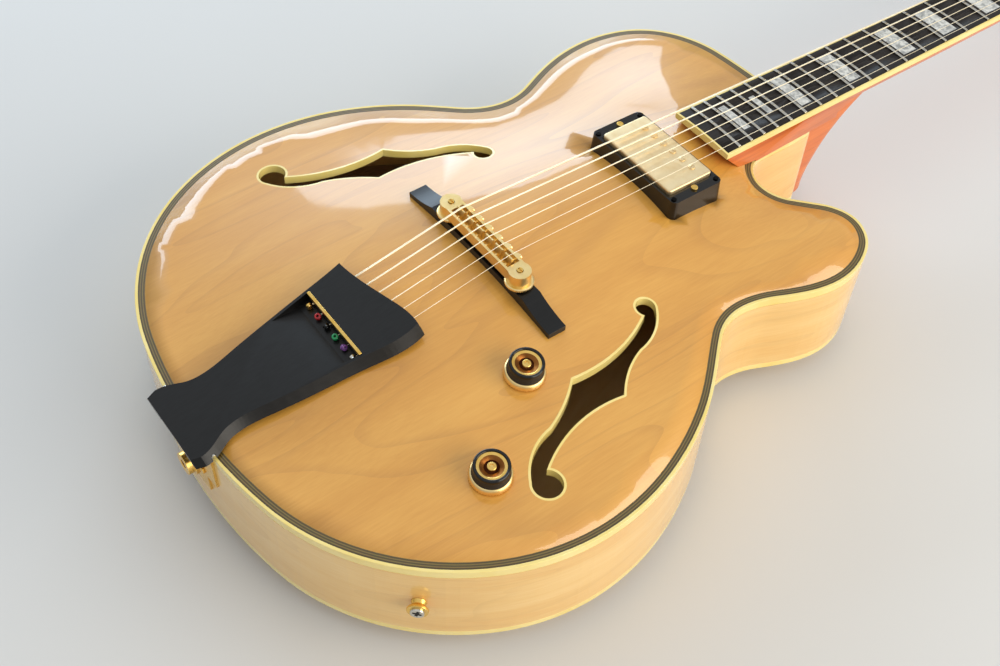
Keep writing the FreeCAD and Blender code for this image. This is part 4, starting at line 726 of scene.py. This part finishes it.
def makeWraps():
    quarter = Matrix.Rotation(math.pi / 2, 4, "X")
    for index, radius in enumerate(wrapLook["radii"]):
        number = stringCount - index
        node = "tuner_post_%d" % number
        axis, foot = Vector(jointOf[node]["axis"]), Vector(jointOf[node]["pos_m"])
        top = max((vert.co - foot).dot(axis) for vert in nodes[node].data.vertices)
        thick = max(radius, wrapLook["thinnest"])
        away = (wrapLook["post"] + thick * wrapLook["hugShare"]) * mm
        for turn in range(wrapLook["turns"]):
            shape = bmesh.new()
            bmesh.ops.create_circle(
                shape, segments=wrapLook["sides"], radius=thick * mm,
                matrix=Matrix.Translation((away, 0, 0)) @ quarter)
            spinRound(shape, shape.verts[:] + shape.edges[:], wrapLook["steps"])
            standOn(shape, axis, foot + axis * (top * wrapLook["heightShare"] - turn * thick * 2 * mm))
            name = "stringWrap%d_%d" % (number, turn + 1)
            placePiece(name, shape, ["string"], node, stands=False, angle=wrapLook["crease"])


makeWraps()
print("strap screws, pole screws and string wraps made")


# Plain pale floor, soft studio light and the photograph's camera
studio = {                                                # places from the bridge and sizes, in metres
    "floorColour": "#DCDCDA", "floorShade": "#D7D7D5", "floorSize": 12.0,
    "floorCloud": 1000 / 3,                               # mm
    "floorRoughness": 0.85, "floorShine": 0.2,
    "key": {"place": (-1.83, 0.6, 0.58), "size": (2.2, 1.0), "power": 31.0, "colour": "#D2EAFF"},
    "fill": {"place": (1.9, 0.9, 0.85), "size": (2.2, 1.6), "power": 42.0, "colour": "#FFF6E8"},
    "world": "#F2F4F6", "worldLow": 0.4, "worldHigh": 0.85,
}
cameraLook = {
    "fromBridge": (0.4523, -0.3432, 0.6171), "right": (0.59444, 0.80364, 0.02837),
    "down": (0.62828, -0.44213, -0.64015), "lens": 46.08, "sensor": 36.0, "clipEnd": 50.0,
}
bridgeAtRim = Vector((0, bridgeY, rimTop))


def makeFloor():
    shape = bmesh.new()
    bmesh.ops.create_grid(shape, x_segments=1, y_segments=1, size=studio["floorSize"])
    mesh = bpy.data.meshes.new("paperFloor")
    shape.to_mesh(mesh)
    shape.free()
    floor = bpy.data.objects.new("paperFloor", mesh)
    bpy.context.scene.collection.objects.link(floor)
    material, tree, shader, place = newMaterial(
        "paperFloor", Roughness=studio["floorRoughness"], Specular_IOR_Level=studio["floorShine"])
    tooth = addNode(tree, "ShaderNodeTexNoise", {
        "Vector": place, "Scale": 1 / (studio["floorCloud"] * mm), "Detail": 2.0})
    colour = addNode(tree, "ShaderNodeValToRGB", {"Fac": tooth.outputs["Fac"]}, stops=[
        (0.0, studio["floorShade"]), (1.0, studio["floorColour"])])
    tree.links.new(colour.outputs["Color"], shader.inputs["Base Color"])
    mesh.materials.append(material)


def makeLamps():
    for name in ("key", "fill"):
        look = studio[name]
        place = Vector(look["place"])
        lamp = bpy.data.lights.new(name, "AREA")
        lamp.shape = "RECTANGLE"
        lamp.size, lamp.size_y = look["size"]
        lamp.energy = look["power"]
        lamp.color = hexColour(look["colour"])[:3]
        holder = bpy.data.objects.new(name, lamp)
        holder.location = bridgeAtRim + place
        holder.rotation_euler = (-place).to_track_quat("-Z", "Y").to_euler()
        bpy.context.scene.collection.objects.link(holder)


def makeWorld():
    world = bpy.data.worlds.new("studio")
    bpy.context.scene.world = world
    world.use_nodes = True
    tree = world.node_tree
    shade = tree.nodes["Background"]
    shade.inputs["Color"].default_value = hexColour(studio["world"])
    around = addNode(tree, "ShaderNodeTexCoord").outputs["Generated"]
    height = addNode(tree, "ShaderNodeSeparateXYZ", {"Vector": around})
    level = addNode(tree, "ShaderNodeMapRange", {
        "Value": height.outputs["Z"], "To Min": studio["worldLow"], "To Max": studio["worldHigh"]})
    tree.links.new(level.outputs["Result"], shade.inputs["Strength"])


def makeCamera():
    lens = bpy.data.cameras.new("camera")
    lens.lens = cameraLook["lens"]
    lens.sensor_width = cameraLook["sensor"]
    lens.clip_end = cameraLook["clipEnd"]
    right, down = Vector(cameraLook["right"]), Vector(cameraLook["down"])
    turn = Matrix((right, -down, -right.cross(down))).transposed()
    camera = bpy.data.objects.new("camera", lens)
    camera.matrix_world = Matrix.Translation(bridgeAtRim + Vector(cameraLook["fromBridge"])) @ turn.to_4x4()
    bpy.context.scene.collection.objects.link(camera)
    bpy.context.scene.camera = camera


makeFloor()
makeLamps()
makeWorld()
makeCamera()
bpy.context.scene.view_settings.view_transform = "Standard"
print("studio ready")
